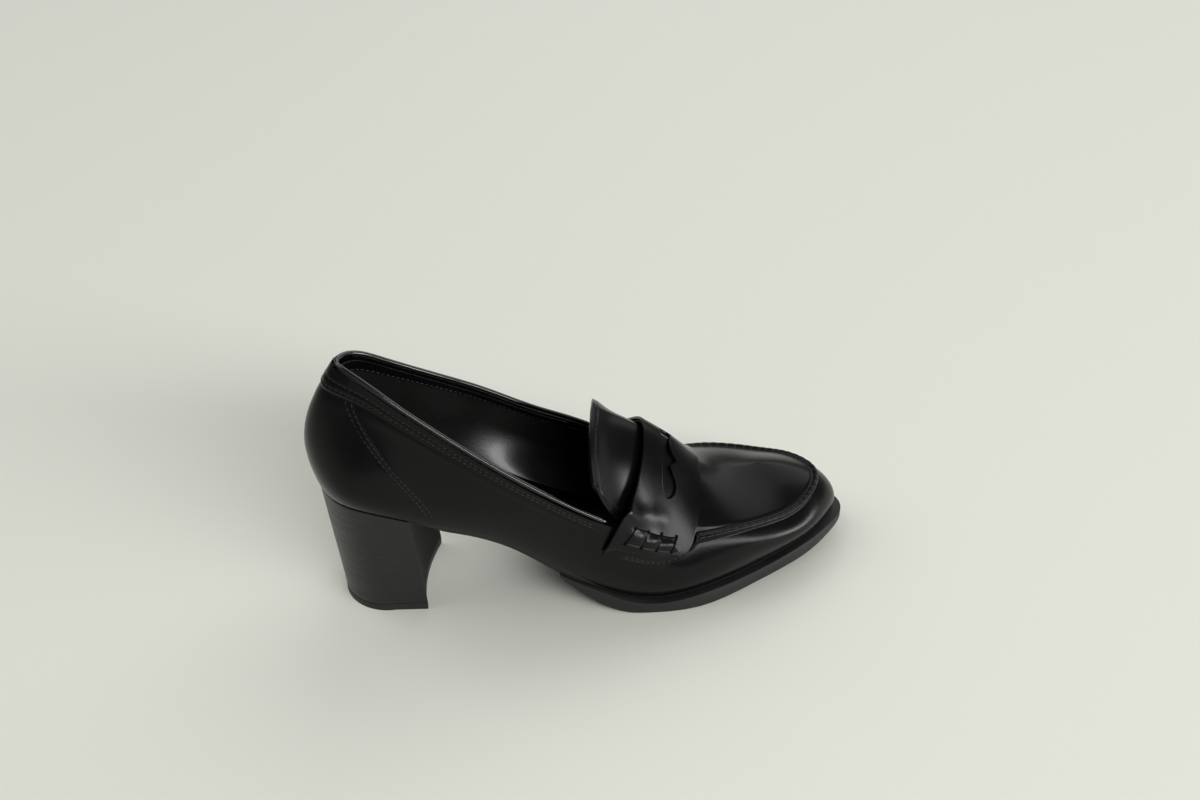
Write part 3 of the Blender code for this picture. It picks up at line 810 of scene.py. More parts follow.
def black_calf():
    # Box calf: dyed black and polished, so it takes broad soft highlights over a fine tight grain
    return leather("black_box_calf", finish().calf, 0.24, 0.16, 0.04, sizes().grain / MM, 0.12)


def polished_roll():
    # The same calf turned over the collar's edge and burnished, so its roll catches a sharp line of light
    return leather("burnished_calf_roll", finish().calf, 0.14, 0.6, 0.3, sizes().grain / MM, 0.01)


def glazed_lining():
    # Glazed kid lining: thin and smooth, glossier than the calf, with the wear of a foot
    return leather("glazed_kid_lining", finish().lining, 0.34, 0.75, 0.1, 0.8, 0.2)


def suede_grip():
    # Pigskin suede: a short nap without gloss, in a brown that is nearly black
    nap = {"Roughness": 0.95, "Specular_IOR_Level": 0.15, "Sheen_Weight": 0.03, "Sheen_Roughness": 0.5}
    relief = {"grain": 0.5, "detail": 4, "strength": 0.5, "depth": 0.2}
    return surface("dark_suede", finish().grip, **relief, patch=(6, 3), tones=(0.8, 1.2), **nap)


def waxed_thread():
    # Twisted polyester, waxed: a dull shine broken up by its twist
    material, tree, place = new_material("waxed_thread")
    twist = node(tree, "ShaderNodeTexWave", {"Vector": place, "Scale": per_mm(3), "Distortion": 2})
    wax = {"Roughness": 0.5, "Specular_IOR_Level": 0.38}
    return set_looks(material, finish().thread, twist.outputs["Fac"], strength=0.3, depth=0.1, **wax)


def hole_shadow():
    # Painted shade: a near-black matt material that stands in for the shadow inside the punched holes, along
    # the slits between them and on the sunken lacing bars, without gloss
    relief = {"grain": 0.3, "detail": 2, "strength": 0.3, "depth": 0.1}
    return surface("punched_hole", linear("#020202"), **relief, Roughness=0.9, IOR=1.2)


def stacked_leather():
    # Layers of leather board, sanded and inked: fine level lines, each layer a little lighter or glossier
    material, tree, place = new_material("stacked_leather")
    scale = 2 * math.pi / (20 * sizes().heel_layer)
    lines = {"Vector": place, "Scale": scale, "Distortion": 1.2, "Detail": 2}
    layer = node(tree, "ShaderNodeTexWave", lines, bands_direction="Z").outputs["Fac"]
    flat = node(tree, "ShaderNodeMapping", {"Vector": place, "Scale": (per_mm(30), per_mm(30), per_mm(0.5))})
    streaks = {"Vector": flat.outputs[0], "Scale": 1, "Detail": 4}
    streak = node(tree, "ShaderNodeTexNoise", streaks).outputs["Fac"]
    height = node(tree, "ShaderNodeMath", {0: layer, 1: streak}).outputs[0]
    ink = {"tones": (0.6, 1.7), "gloss": (0.32, 0.5), "IOR": 1.5, "Specular_IOR_Level": 0.45}
    return set_looks(material, finish().heel, height, strength=0.25, depth=0.15, drift=streak, **ink)


def matt_breast():
    # Leather board on the front of the heel: sanded and inked but not polished
    relief = {"grain": 0.9, "detail": 5, "strength": 0.25, "depth": 0.2}
    ink = {"Roughness": 0.65, "IOR": 1.5, "Specular_IOR_Level": 0.15}
    return surface("matt_leather_board", finish().heel, **relief, **ink)


def moulded_rubber():
    # Moulded rubber: matt, faintly stippled, greyed where it was handled
    relief = {"grain": 0.7, "detail": 3, "strength": 0.2, "depth": 0.2}
    wear = {"patch": (14, 4), "tones": (0.7, 1.3), "gloss": (0.5, 0.65)}
    return surface("moulded_rubber", finish().rubber, **relief, **wear, IOR=1.52)


def inked_edge():
    # Cut leather edge, inked and burnished: dark, with fibres that run along it
    relief = {"grain": 1.2, "detail": 5, "strength": 0.25, "depth": 0.2}
    return surface("inked_leather_edge", finish().sole_edge, **relief, gloss=(0.45, 0.6), IOR=1.5)


def studio_paper():
    # Seamless paper: matt and even, with a faint tooth
    relief = {"grain": 1.5, "detail": 2, "strength": 0.05, "depth": 0.1}
    return surface("studio_paper", finish().floor, **relief, Roughness=0.6, IOR=1.4)


made_materials = {}


def shared(maker):
    """The material that a function makes, made once and used by every piece that asks for it."""
    if maker.__name__ not in made_materials:
        made_materials[maker.__name__] = maker()
    return made_materials[maker.__name__]


RING_SIDES = 6
RING_PLACES = np.array([0.0, 0.14, 0.5, 0.86, 1.0])
RING_WIDTHS = np.array([0.4, 0.9, 1.0, 0.9, 0.4])
RING_RISES = np.array([-0.9, 0.1, 0.45, 0.1, -0.9])


def stitch_corners(points, normals, pitch, length, radius, proud):
    """Corners of a row of stitches along a path, as stitch, ring, corner round the ring, and axis."""
    run = np.concatenate([[0], np.cumsum(np.linalg.norm(np.diff(points, axis=0), axis=1))])
    count = max(1, int(run[-1] / pitch))
    middles = (np.arange(count) + 0.5) * run[-1] / count
    where = middles[:, None] + (RING_PLACES - 0.5) * min(length, run[-1])
    middle = np.stack([np.interp(where, run, points[:, i]) for i in range(3)], axis=-1)
    normal = unit(np.stack([np.interp(where, run, normals[:, i]) for i in range(3)], axis=-1))
    along = unit(np.gradient(middle, axis=1))
    across = np.cross(normal, along)
    middle = middle + normal * (RING_RISES * radius * proud)[None, :, None]
    turns = np.linspace(0, 2 * np.pi, RING_SIDES, endpoint=False)
    reach = (RING_WIDTHS * radius)[None, :, None, None]
    ring = across[:, :, None] * np.cos(turns)[:, None] + proud * normal[:, :, None] * np.sin(turns)[:, None]
    return middle[:, :, None] + ring * reach


def sew(name, paths, pitch, length, radius, slot, maker, proud=0.75):
    """One mesh of stitches along paths of points and normals. Proud is their height to width."""
    corners = np.concatenate([stitch_corners(*path, pitch, length, radius, proud) for path in paths])
    rings = len(RING_PLACES)
    faces = []
    for start in range(0, len(corners) * rings * RING_SIDES, rings * RING_SIDES):
        for ring in range(rings - 1):
            low = start + ring * RING_SIDES
            for i in range(RING_SIDES):
                j = (i + 1) % RING_SIDES
                faces.append((low + i, low + j, low + RING_SIDES + j, low + RING_SIDES + i))
        faces.append(tuple(start + i for i in reversed(range(RING_SIDES))))
        faces.append(tuple(start + (rings - 1) * RING_SIDES + i for i in range(RING_SIDES)))
    mesh = bpy.data.meshes.new(name)
    mesh.from_pydata(in_frame(corners.reshape(-1, 3)).tolist(), [], faces)
    piece = bpy.data.objects.new(name, mesh)
    bpy.context.scene.collection.objects.link(piece)
    return dress(piece, name, slot, shared(maker))


def path_on(place):
    """A path and its normals, from a function that gives its points at a height off the surface."""
    points = place(0.0)
    return points, unit(place(0.5) - points)


def upper_path(foot_way, share, inner):
    foot_way, share = np.broadcast_arrays(np.asarray(foot_way, float), np.asarray(share, float))
    side = np.full(foot_way.shape, inner)
    return path_on(lambda off: upper_place(foot_way, share, side, off))


class LOAFER_OT_upper(bpy.types.Operator):
    """Lays the calf upper over the last, with its counter, collar band and moccasin seam"""

    bl_idname = "loafer.upper"
    bl_label = "Upper"

    def execute(self, context):
        half = runs_to(COLUMN_RUNS, 0.0, TOE_WAY)
        ways = np.concatenate([half, 2 * TOE_WAY - half[-2::-1]])
        shares = runs_to(ROW_RUNS, 0.0, 1.0)

        def point(u, v):
            foot_way = spread(u, ways)
            inner = foot_way > TOE_WAY
            return upper_place(np.where(inner, 2 * TOE_WAY - foot_way, foot_way), spread(v, shares), inner)

        upper = weld(add_grid(len(ways) - 1, len(shares) - 1, point))
        thicken(upper, UPPER_WALL)
        dress(upper, "upper_leather", "black_calf", shared(black_calf), replaces=["upper"])
        return {"FINISHED"}


class LOAFER_OT_lining(bpy.types.Operator):
    """Glues the quarter lining, the suede heel grip and the collar's facing inside the upper"""

    bl_idname = "loafer.lining"
    bl_label = "Lining and heel grip"

    def execute(self, context):
        over_lining = 2 * GLUE + LINING_WALL
        layers = (
            ("quarter_lining", LINING_END_WAY, LINING_SHARES, LINING_LEAN, GLUE, LINING_WALL, glazed_lining),
            ("heel_grip", GRIP_END_WAY, GRIP_SHARES, 0, over_lining, GRIP_WALL, suede_grip),
            ("collar_facing", FACING_END_WAY, FACING_SHARES, 0, over_lining, FACING_WALL, black_calf),
        )
        for name, end, shares, most_lean, under, wall, maker in layers:

            def point(u, v):
                way = end * (2 * u - 1)
                share = shares[0] + (shares[1] - shares[0]) * v
                lean = most_lean * hump((way + LINING_LEAN_WAY) / LINING_LEAN_REACH)
                lean = lean * (1 - smooth_step(share / LINING_LEAN_SHARE))
                return lifted(way, collar_up(way) * share, -UPPER_WALL - under - lean)

            piece = add_grid(*LINING_GRID, point)
            thicken(piece, wall)
            soften(piece, LINING_EDGE)
            dress(piece, name, "lining", shared(maker))
        return {"FINISHED"}


class LOAFER_OT_binding(bpy.types.Operator):
    """Rolls the binding round the edge of the collar"""

    bl_idname = "loafer.binding"
    bl_label = "Collar binding"

    def execute(self, context):
        def point(u, v):
            way = spread(u, (-BINDING_END_INNER, BINDING_END_OUTER))
            up = collar_up(way)
            depth = np.full_like(way, -UPPER_WALL / 2 + BAND_STEP / 2)
            edge = lifted(way, up, depth)
            rise = unit(edge - lifted(way, up - NORMAL_REACH, depth))
            outwards = last_normal(way, up)
            near_end = np.minimum(way + BINDING_END_INNER, BINDING_END_OUTER - way)
            radius = BINDING_RADIUS * np.sqrt(np.clip(near_end / BINDING_TAPER, 0, 1))
            turn = 2 * np.pi * v
            ring = rise * np.sin(turn)[:, None] + outwards * np.cos(turn)[:, None]
            return edge + rise * (BINDING_RADIUS + BINDING_GAP) + ring * radius[:, None]

        binding = weld(add_grid(*BINDING_GRID, point), outwards=True)
        roll = shared(polished_roll)
        dress(binding, "collar_binding_roll", "black_calf", roll, replaces=["collar_binding"])
        return {"FINISHED"}


def skewed(line, side, skew):
    """A line given for the outer side, with the inner side set forwards along the ball of the foot."""
    return line(np.abs(side)) + skew * np.clip(side, 0, None)


def tongue_surface(way, side, off=0.0):
    far = np.abs(side)
    rear = skewed(tongue_rear, side, TONGUE_SKEW)
    throat = THROAT_FRONT_WAY + (THROAT_BACK_WAY - THROAT_FRONT_WAY) * far
    free = smooth_step((throat - TONGUE_DIP - way) / TONGUE_DIP_REACH)
    middle = smooth_step((TONGUE_MIDDLE - far) / TONGUE_MIDDLE_REACH)
    curl = np.interp(side, TONGUE_CURL_SIDES, (TONGUE_FLARE, TONGUE_FLARE_INNER))
    flare = curl * hump((way - rear) / TONGUE_FLARE_REACH) * middle
    groove = TONGUE_GROOVE_DEPTH * hump((way - rear - TONGUE_STITCH_IN) / TONGUE_GROOVE)
    rise = free * middle * TONGUE_RISE
    return over_point(way, side, -UPPER_WALL - TONGUE_GAP + rise + flare - groove + off)


def tongue_point(u, v):
    side = TONGUE_END * (2 * v - 1)
    rear = skewed(tongue_rear, side, TONGUE_SKEW)
    return tongue_surface(rear + (tongue_front(np.abs(side)) - rear) * u**TONGUE_CROWDING, side)


class LOAFER_OT_tongue(bpy.types.Operator):
    """Shapes the tongue, which rises to meet the strap and flares at its free edge"""

    bl_idname = "loafer.tongue"
    bl_label = "Tongue"

    def execute(self, context):
        tongue = add_grid(*TONGUE_GRID, tongue_point)
        thicken(tongue, TONGUE_WALL, even=False)
        soften(tongue, TONGUE_EDGE, TONGUE_EDGE_STEPS)
        dress(tongue, "tongue_leather", "black_calf", shared(black_calf), replaces=["tongue"])
        return {"FINISHED"}


slot_runs = [table_line(run, "side", "ahead") for run in (SLOT_LOBE, SLOT_NOTCH, SLOT_FAR_LOBE)]


def slot_edges(side):
    """Ways of the slot's rear and front edges at a side of the strap. Beyond its ends they meet."""
    half = (SLOT_INNER_END - SLOT_OUTER_END) / 2
    end = np.clip(np.abs(side - SLOT_OUTER_END - half) / half, 0, 1)
    open_share = np.sqrt(1 - end**SLOT_SQUARE)
    run = np.digitize(side, (SLOT_LOBE[-1].side, SLOT_NOTCH[-1].side))
    ahead = np.choose(run, [line(side) for line in slot_runs])
    middle = SLOT_WAY - SLOT_BEND * side**2 + SLOT_CLOSE
    return middle + (SLOT_REAR - SLOT_CLOSE) * open_share, middle + (ahead - SLOT_CLOSE) * open_share


def strap_place(across, along):
    """The way and the side of a point of the strap: across runs from its rear edge, 0, to its front edge, 1,
    and along from its outer end, -1, to its inner end, 1."""
    side = (STRAP_END_REAR + (STRAP_END_FRONT - STRAP_END_REAR) * across) * along
    rear = skewed(strap_rear, side, STRAP_SKEW)
    return rear + (skewed(strap_front, side, STRAP_SKEW) - rear) * across, side


def strap_across(way, side):
    rear = skewed(strap_rear, side, STRAP_SKEW)
    return (way - rear) / (skewed(strap_front, side, STRAP_SKEW) - rear)


def columns_of(rows):
    """The columns of a short table, each as an array."""
    return np.array(rows, float).T


def strap_relief(way, side):
    """What stands on the strap: its body above the sewn foot, and pads between the bars of its lacing."""
    outer_way = way - STRAP_SKEW * np.clip(side, 0, None)
    fold = np.interp(outer_way, *columns_of(STRAP_FOLD))
    step = STRAP_FOLD_STEP * smooth_step((fold - np.abs(side)) / STRAP_FOLD_REACH + 0.5)
    upper, lower = columns_of(LACING_UPPER), columns_of(LACING_LOWER)
    low = np.interp(outer_way, *lower)
    high = np.interp(outer_way, *upper)
    rise = np.clip((2 - 2 * np.abs(side) - low) / (high - low), 0, 1)
    roll = STRAP_ROLL_RISE * hump((1 - high / 2 - np.abs(side) - STRAP_ROLL_OFF) / STRAP_ROLL_REACH)
    step += roll * smooth_step((LACING_UPPER[-1].way - outer_way) / STRAP_ROLL_FADE)
    bars = np.arange(len(LACING_UPPER))
    bar = (1 - rise) * np.interp(outer_way, lower[0], bars) + rise * np.interp(outer_way, upper[0], bars)
    return step + PAD_RISE * np.sin(np.pi * rise) * np.abs(np.sin(np.pi * bar)) ** PAD_FULL


def strap_surface(way, side, off=0.0):
    """A point of the strap's outside, which sinks to the vamp along its front edge."""
    front = (strap_across(way, side) - STRAP_DROP_START) / (1 - STRAP_DROP_START)
    lift = STRAP_GAP + STRAP_WALL - STRAP_FOLD_STEP - STRAP_FRONT_DROP * smooth_step(front)
    return over_point(way, side, lift + strap_relief(way, side) + off)


def strap_split(along, edge):
    """How far across the strap one edge of the slot lies, 0 for its rear edge and 1 for its front edge."""
    across = np.full_like(along, SLOT_ACROSS)
    for _ in range(SLOT_ROUNDS):
        side = strap_place(across, along)[1]
        across = 0.5 * across + 0.5 * strap_across(slot_edges(side)[edge], side)
    return across


def strap_lines():
    """Places along the strap of its mesh's lines, closest at the ends of the slot."""
    turn = np.linspace(0, np.pi, SLOT_LINES)
    middle = (SLOT_OUTER_END + SLOT_INNER_END) / 2
    reach = (SLOT_INNER_END - SLOT_OUTER_END) / 2 * SLOT_OVERRUN
    slot = middle - reach * np.sin(np.pi / 2 * np.cos(turn))
    slot = slot / (STRAP_END_REAR + (STRAP_END_FRONT - STRAP_END_REAR) * SLOT_ACROSS)
    ends = [np.linspace(*run, STRAP_END_LINES) for run in ((-1, slot[0]), (slot[-1], 1))]
    return np.concatenate([ends[0][:-1], slot, ends[1][1:]])


class LOAFER_OT_strap(bpy.types.Operator):
    """Cuts the saddle strap: a facing in two bands that part round its slot, and a backing under them"""

    bl_idname = "loafer.strap"
    bl_label = "Saddle strap"

    def execute(self, context):
        lines = strap_lines()
        splits = [strap_split(lines, edge) for edge in (0, 1)]

        def rear_band(u, v):
            return strap_surface(*strap_place(u * spread(v, splits[0]), spread(v, lines)))

        def front_band(u, v):
            split = spread(v, splits[1])
            return strap_surface(*strap_place(split + (1 - split) * u, spread(v, lines)))

        def backing(u, v):
            along = BACKING_LENGTH * (2 * v - 1)
            inset = BACKING_INSET * smooth_step((BACKING_INSET_END - np.abs(along)) / BACKING_INSET_REACH)
            way, side = strap_place(BACKING_MARGIN + (1 - 2 * BACKING_MARGIN - inset) * u, along)
            top = STRAP_GAP + STRAP_WALL - STRAP_FOLD_STEP - STRAP_TOP_WALL - PLY_GAP
            return over_point(way, side, np.full_like(u, top))

        bands = [add_grid(STRAP_COLUMNS, len(lines) - 1, band) for band in (rear_band, front_band)]
        facing = weld(join(bands))
        thicken(facing, STRAP_TOP_WALL, even=False)
        soften(facing, STRAP_EDGE)
        dress(facing, "saddle_strap_facing", "black_calf", shared(black_calf), replaces=["saddle_strap"])
        under = add_grid(*BACKING_GRID, backing)
        thicken(under, STRAP_WALL - STRAP_FOLD_STEP - STRAP_TOP_WALL - PLY_GAP, even=False)
        soften(under, BACKING_EDGE)
        dress(under, "saddle_strap_backing", "black_calf", shared(black_calf))
        return {"FINISHED"}


def sole_plan(outer_way, inner_way, across, out):
    """A point of the sole's plan between the outer edge, across 0, and the inner edge, across 1."""
    outer, _ = feather_plan(outer_way, out)
    inner, _ = feather_plan(2 * TOE_WAY - inner_way, out)
    return outer + (inner - outer) * across[..., None]


def midsole_wall(x):
    waist = smooth_step((x - SEAT_END_X) / SEAT_FADE)
    swell = smooth_step((x - STEP_X + STEP_SWELL) / STEP_SWELL)
    forepart = smooth_step((x - STEP_X) / STEP_FADE)
    waist_wall = WAIST_WALL + (STEP_WALL - WAIST_WALL) * swell
    wall = SEAT_WALL + (waist_wall - SEAT_WALL) * waist
    return wall + (FOREPART_WALL - wall) * forepart


def sole_bottom(x):
    """The outsole's underside: a curve up into the waist, a flat under the ball and the toe spring."""
    back = STEP_HEIGHT * (np.clip(FLAT_BACK_X - x, 0, None) / (FLAT_BACK_X - STEP_X)) ** 2
    front = np.clip(x - FLAT_FRONT_X, 0, None) / (TOE_X - FLAT_FRONT_X)
    return back + TOE_SPRING * front**TOE_SPRING_CURVE


def way_at(x, inner=False):
    """The way on one side at which the feather line reaches a place along the shoe."""
    ways = np.linspace(0, TOE_WAY, 4001)
    xs = LAST(2 * TOE_WAY - ways if inner else ways)[..., 0]
    return float(ways[np.argmax(xs >= x)])


def insole_point(along, across, up):
    way = along * TOE_WAY
    plan = sole_plan(way, way, across, np.full_like(along, -UPPER_WALL - 2 * GAP))
    dish = INSOLE_DISH * (1 - (2 * across - 1) ** 2) * up
    return stack(plan, seat_height(plan[..., 0], across) + GAP + INSOLE_WALL * up - dish)


def midsole_point(along, across, up):
    way = along * TOE_WAY
    inset = SEAT_INSET + (MIDSOLE_INSET - SEAT_INSET) * smooth_step((way - SEAT_END_X) / SEAT_FADE)
    plan = sole_plan(way, way, across, -inset)
    x = plan[..., 0]
    return stack(plan, seat_height(x, across) - GAP - midsole_wall(x) * (1 - up))


def tread(x, across):
    """How deep the tread is cut into the sole: ribs across the forepart, with a plain rim."""
    inside = smooth_step((np.minimum(across, 1 - across) - TREAD_MARGIN) / TREAD_EDGE)
    run = smooth_step((x - TREAD_START_X) / TREAD_FADE) * smooth_step((TREAD_END_X - x) / TREAD_FADE)
    wave = 0.5 + 0.5 * np.cos(2 * np.pi * x / TREAD_PITCH)
    groove = smooth_step((wave - TREAD_CUT) / TREAD_FLANK)
    return TREAD_DEPTH * groove * inside * run


def outsole_point(along, across, up):
    outer_start = way_at(STEP_X)
    inner_start = way_at(STEP_X, inner=True)
    outer_way = outer_start + (TOE_WAY - outer_start) * along
    inner_way = inner_start + (TOE_WAY - inner_start) * along
    welt = WELT + TOE_WELT * smooth_step((outer_way - TOE_WAY) / TOE_WELT_REACH + 1)
    welt = welt * (WELT_START + (1 - WELT_START) * smooth_step(along / WELT_START_REACH))
    plan = sole_plan(outer_way, inner_way, across, welt - SOLE_EDGE_INSET * (up == 0))
    x = plan[..., 0]
    top = seat_height(x, across) - midsole_wall(x) - 2 * GAP
    bottom = sole_bottom(x)
    low = bottom + tread(x, across)
    edge = np.minimum(bottom + SOLE_EDGE_INSET, top - SOLE_EDGE_INSET)
    rise = edge + (top - edge) * np.clip(2 * up - 1, 0, 1)
    return stack(plan, np.where(up == 0, low, rise))


def heel_foot_plan(along, across):
    """The heel's outline at its foot: half a circle that runs out to two front corners."""
    turn = np.pi / 2 * np.clip(along / HEEL_ROUND_SHARE, 0, 1)
    run = np.clip((along - HEEL_ROUND_SHARE) / (1 - HEEL_ROUND_SHARE), 0, 1)[..., None]
    ends = []
    for side, corner in ((-1, HEEL_FOOT_FRONT_OUTER), (1, HEEL_FOOT_FRONT_INNER)):
        arc = np.stack([-np.cos(turn), side * np.sin(turn)], axis=-1) * HEEL_FOOT_RADIUS + HEEL_FOOT_CENTRE
        ends.append(arc + (np.array(corner) - arc) * run)
    return ends[0] + (ends[1] - ends[0]) * across[..., None]


def hollow_breast(plan, along, across):
    """Draws the middle of the heel's front face in."""
    plan[..., 0] -= BREAST_HOLLOW * along**4 * (1 - (2 * across - 1) ** 2)
    return plan


def heel_point(along, across, up):
    outer_way = way_at(HEEL_TOP_FRONT_OUTER) * along
    inner_way = way_at(HEEL_TOP_FRONT_INNER, inner=True) * along
    top = sole_plan(outer_way, inner_way, across, np.full_like(along, -HEEL_INSET))
    top = hollow_breast(top, along, across)
    top = stack(top, seat_height(top[..., 0], across) - midsole_wall(top[..., 0]) - 2 * GAP)
    foot = hollow_breast(heel_foot_plan(along, across), along, across)
    foot = stack(foot, np.full_like(along, TOP_LIFT + GAP))
    return foot + (top - foot) * up[..., None]


def top_lift_point(along, across, up):
    return stack(hollow_breast(heel_foot_plan(along, across), along, across), TOP_LIFT * up)


SolePiece = namedtuple("SolePiece", "name node slot segments point edge maker")
SOLE_PIECES = (
    SolePiece("insole_sock", "insole", "lining", (90, 12, 1), insole_point, 0.4, glazed_lining),
    SolePiece("midsole_edge", "midsole", "sole_edge", (110, 8, 1), midsole_point, 0.15, inked_edge),
    SolePiece("outsole_rubber", "outsole", "sole_rubber", (230, 26, 4), outsole_point, 0.25, moulded_rubber),
    SolePiece("heel_stack", "heel", "stacked_heel", (60, 18, 40), heel_point, 0.3, stacked_leather),
    SolePiece(
        "top_lift_rubber", "top_lift", "lift_rubber", (60, 18, 2), top_lift_point, 0.4, moulded_rubber
    ),
)


class LOAFER_OT_sole(bpy.types.Operator):
    """Builds the insole, midsole, outsole, heel and top lift"""

    bl_idname = "loafer.sole"
    bl_label = "Sole and heel"

    def execute(self, context):
        for part in SOLE_PIECES:
            piece = block(part.segments, part.point)
            soften(piece, part.edge)
            dress(piece, part.name, part.slot, shared(part.maker), replaces=[part.node])
            if part.node == "heel":
                piece.data.materials.append(shared(matt_breast))
                for face in piece.data.polygons:
                    face.material_index = int(face.normal.x > BREAST_FACING)
        return {"FINISHED"}


def collar_paths():
    ways = np.linspace(STITCH_MARGIN, BAND_END_WAY - BAND_STITCH_END, 160)
    return [upper_path(ways, row, inner) for row in BAND_ROWS for inner in (False, True)]


def facing_paths():
    """The row of stitches inside the collar, along the lower edge of its facing."""
    end = FACING_END_WAY - STITCH_MARGIN
    ways = np.linspace(-end, end, 320)
    up = collar_up(ways) * FACING_STITCH
    inside = -UPPER_WALL - LINING_WALL - FACING_WALL - 2 * GLUE
    return [path_on(lambda off: lifted(ways, up, np.full_like(ways, inside - off)))]


def counter_paths():
    shares = np.linspace(COUNTER_STITCH_FOOT, BAND_ROWS[0] - COUNTER_STITCH_TOP, 80)
    slope = counter_lean(shares) * COUNTER_SLOPE
    paths = []
    for row in COUNTER_ROWS:
        for inner in (False, True):
            paths.append(upper_path(COUNTER_FOOT_WAY - row / slope, shares, inner))
    return paths


def seam_paths():
    """One short path over the moccasin seam at each of its pinches."""
    reach = SEAM_STITCH_REACH * SEAM_HALF
    shares = np.linspace(SEAM_SHARE - reach, SEAM_SHARE + reach, 12)
    paths = []
    for inner, start in ((False, SEAM_START_OUTER), (True, SEAM_START_INNER)):
        for way in np.arange(TOE_WAY - SEAM_PITCH * inner, start + SEAM_STITCH_START, -SEAM_PITCH):
            paths.append(upper_path(way, shares, inner))
    return paths


def tongue_paths():
    sides = np.linspace(-TONGUE_STITCH_END, TONGUE_STITCH_END, 160)
    ways = skewed(tongue_rear, sides, TONGUE_SKEW) + TONGUE_STITCH_IN
    return [path_on(lambda off: tongue_surface(ways, sides, off))]


def strap_path(way, side):
    return path_on(lambda off: strap_surface(way, side, off))


def strap_end_paths():
    """Double stitches along the foot of the strap at both of its ends."""
    foot = spline(*zip(*STRAP_FOOT))
    ways = np.linspace(STRAP_FOOT[0].way, STRAP_FOOT[-1].way, 60)
    paths = []
    for row in STRAP_FOOT_ROWS:
        sides = foot(ways)[:, 0] + row
        paths += [strap_path(ways, -sides), strap_path(ways + STRAP_SKEW * sides, sides)]
    return paths


def lacing_paths(lines):
    """Paths between pairs of holes on the outer end of the strap, and the same on its inner end."""
    paths = []
    for start, end in lines:
        steps = np.linspace(0, 1, 9)
        way = start.way + (end.way - start.way) * steps
        side = (2 - start.up - (end.up - start.up) * steps) / 2
        paths.append(strap_path(way, -side))
        paths.append(strap_path(way + STRAP_SKEW * side, side))
    return paths


class LOAFER_OT_stitching(bpy.types.Operator):
    """Sews the collar, counter, moccasin seam, tongue and strap ends"""

    bl_idname = "loafer.stitching"
    bl_label = "Stitching"

    def execute(self, context):
        size = sizes()
        pitch = size.stitch_pitch / MM
        length = size.stitch_length / MM
        radius = size.thread_radius / MM
        machine = (
            ("stitches_collar", collar_paths()),
            ("stitches_facing", facing_paths()),
            ("stitches_counter", counter_paths()),
            ("stitches_tongue", tongue_paths()),
            ("stitches_strap_ends", strap_end_paths()),
        )
        for name, paths in machine:
            sew(name, paths, pitch, length, radius, "black_calf", waxed_thread)
        seam, thick = seam_paths(), SEAM_THREAD * radius
        sew("stitches_moccasin_seam", seam, ONE_STITCH, ONE_STITCH, thick, "black_calf", waxed_thread)
        return {"FINISHED"}


class LOAFER_OT_lacing(bpy.types.Operator):
    """Threads the lacing through its holes at both ends of the strap"""

    bl_idname = "loafer.lacing"
    bl_label = "Strap lacing"

    def execute(self, context):
        radius = sizes().lace_radius / MM
        slits = list(zip(LACING_UPPER, LACING_UPPER[1:]))
        cords = list(zip(LACING_LOWER, LACING_LOWER[1:]))
        bars = list(zip(LACING_UPPER, LACING_LOWER))
        holes = []
        for upper, lower in bars:
            reach = HOLE_REACH / math.hypot(lower.way - upper.way, HOLE_UP_LENGTH * (lower.up - upper.up))
            step = Hole(reach * (lower.way - upper.way), reach * (lower.up - upper.up))
            for way, up in (upper, lower):
                holes.append((Hole(way - step.way, up - step.up), Hole(way + step.way, up + step.up)))
        # The bars, the slit shadows and the holes are near-black painted shade; only the cords are thread
        rows = (
            ("bars", bars, 0.7 * radius, hole_shadow, 0.3),
            ("slits", slits, 0.5 * radius, hole_shadow, 0.25),
            ("cords", cords, 0.35 * radius, waxed_thread, 0.6),
            ("holes", holes, HOLE_HALF, hole_shadow, 0.2),
        )
        for name, lines, half, maker, proud in rows:
            paths = lacing_paths(lines)
            sew("strap_lacing_" + name, paths, ONE_STITCH, ONE_STITCH, half, "black_calf", maker, proud)
        return {"FINISHED"}


def add_light(name, place, target, size, lean, power):
    """A soft box that faces a point of the shoe, leaning in its own plane by some degrees."""
    data = bpy.data.lights.new(name, "AREA")
    data.shape = "RECTANGLE"
    data.size, data.size_y = size
    data.energy = power
    light = bpy.data.objects.new(name, data)
    light.location = place
    facing = (Vector(target) - Vector(place)).to_track_quat("-Z", "Y")
    light.rotation_euler = (facing @ Quaternion((0, 0, 1), math.radians(lean))).to_euler()
    bpy.context.scene.collection.objects.link(light)


def floor_point(u, v):
    """A pale floor that sweeps up far from the shoe on every side."""
    plan = FLOOR_HALF * (2 * np.stack([u, v], axis=-1) - 1)
    far = np.clip(np.linalg.norm(plan, axis=-1) - FLOOR_FLAT, 0, None)
    return stack(plan, far**2 / FLOOR_SWEEP) + CENTRE


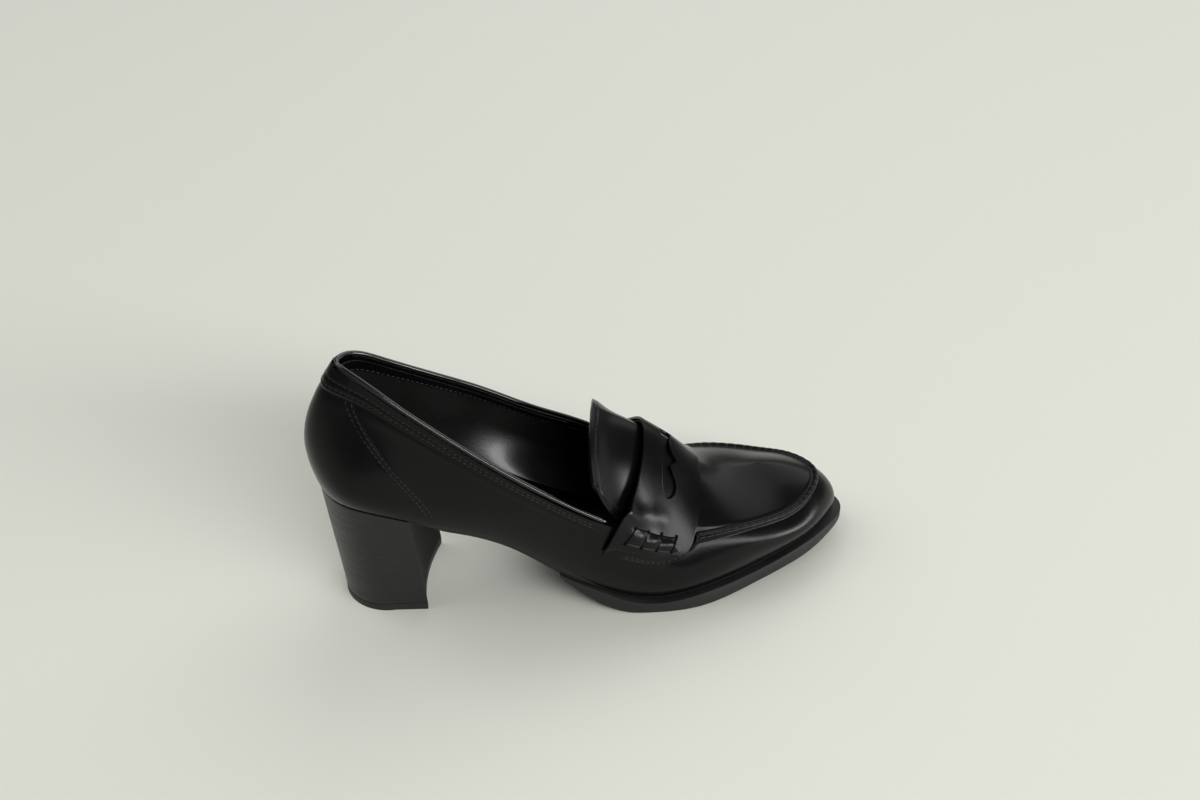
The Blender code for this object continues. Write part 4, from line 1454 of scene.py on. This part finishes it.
class LOAFER_OT_stage(bpy.types.Operator):
    """Sets the pale floor, the soft studio light and the camera"""

    bl_idname = "loafer.stage"
    bl_label = "Studio"

    def execute(self, context):
        floor = add_grid(*FLOOR_GRID, floor_point)
        floor.name = "studio_floor"
        floor.data.name = "studio_floor"
        floor.data.materials.append(studio_paper())
        for box in SOFT_BOXES:
            add_light(*box)
        world = bpy.data.worlds.new("studio_air")
        world.use_nodes = True
        air = world.node_tree.nodes["Background"]
        air.inputs["Color"].default_value = linear(WORLD_COLOUR)
        air.inputs["Strength"].default_value = WORLD_STRENGTH
        context.scene.world = world
        level = math.cos(CAMERA_ELEVATION)
        right, near = math.sin(CAMERA_AZIMUTH) * level, -math.cos(CAMERA_AZIMUTH) * level
        back = Vector((right, near, math.sin(CAMERA_ELEVATION)))
        data = bpy.data.cameras.new("studio_camera")
        data.lens = CAMERA_LENS
        data.sensor_width = CAMERA_SENSOR
        data.clip_end = CAMERA_REACH
        camera = bpy.data.objects.new("studio_camera", data)
        camera.location = (Vector(CAMERA_TARGET) + back * CAMERA_DISTANCE) * MM
        camera.rotation_euler = back.to_track_quat("Z", "Y").to_euler()
        context.scene.collection.objects.link(camera)
        context.scene.camera = camera
        context.scene.view_settings.view_transform = "Standard"
        return {"FINISHED"}


class LOAFER_PT_sidebar(bpy.types.Panel):
    """Lists the pieces of the loafer, and the sizes and colours that can be changed"""

    bl_idname = "LOAFER_PT_sidebar"
    bl_label = "Heeled penny loafer"
    bl_space_type = "VIEW_3D"
    bl_region_type = "UI"
    bl_category = "Loafer"

    def draw(self, context):
        for group in (context.scene.loafer_finish, context.scene.loafer_sizes):
            for name in group.__annotations__:
                self.layout.prop(group, name)
        for operator in OPERATORS:
            self.layout.operator(operator.bl_idname)


OPERATORS = (
    LOAFER_OT_upper,
    LOAFER_OT_lining,
    LOAFER_OT_binding,
    LOAFER_OT_tongue,
    LOAFER_OT_strap,
    LOAFER_OT_sole,
    LOAFER_OT_stitching,
    LOAFER_OT_lacing,
    LOAFER_OT_stage,
)
CLASSES = (LoaferFinish, LoaferSizes, *OPERATORS, LOAFER_PT_sidebar)


def register():
    for each in CLASSES:
        bpy.utils.register_class(each)
    bpy.types.Scene.loafer_finish = bpy.props.PointerProperty(type=LoaferFinish)
    bpy.types.Scene.loafer_sizes = bpy.props.PointerProperty(type=LoaferSizes)


def unregister():
    del bpy.types.Scene.loafer_sizes
    del bpy.types.Scene.loafer_finish
    for each in reversed(CLASSES):
        bpy.utils.unregister_class(each)


def main():
    register()
    for operator in OPERATORS:
        group, name = operator.bl_idname.split(".")
        getattr(getattr(bpy.ops, group), name)()


if __name__ == "__main__":
    main()
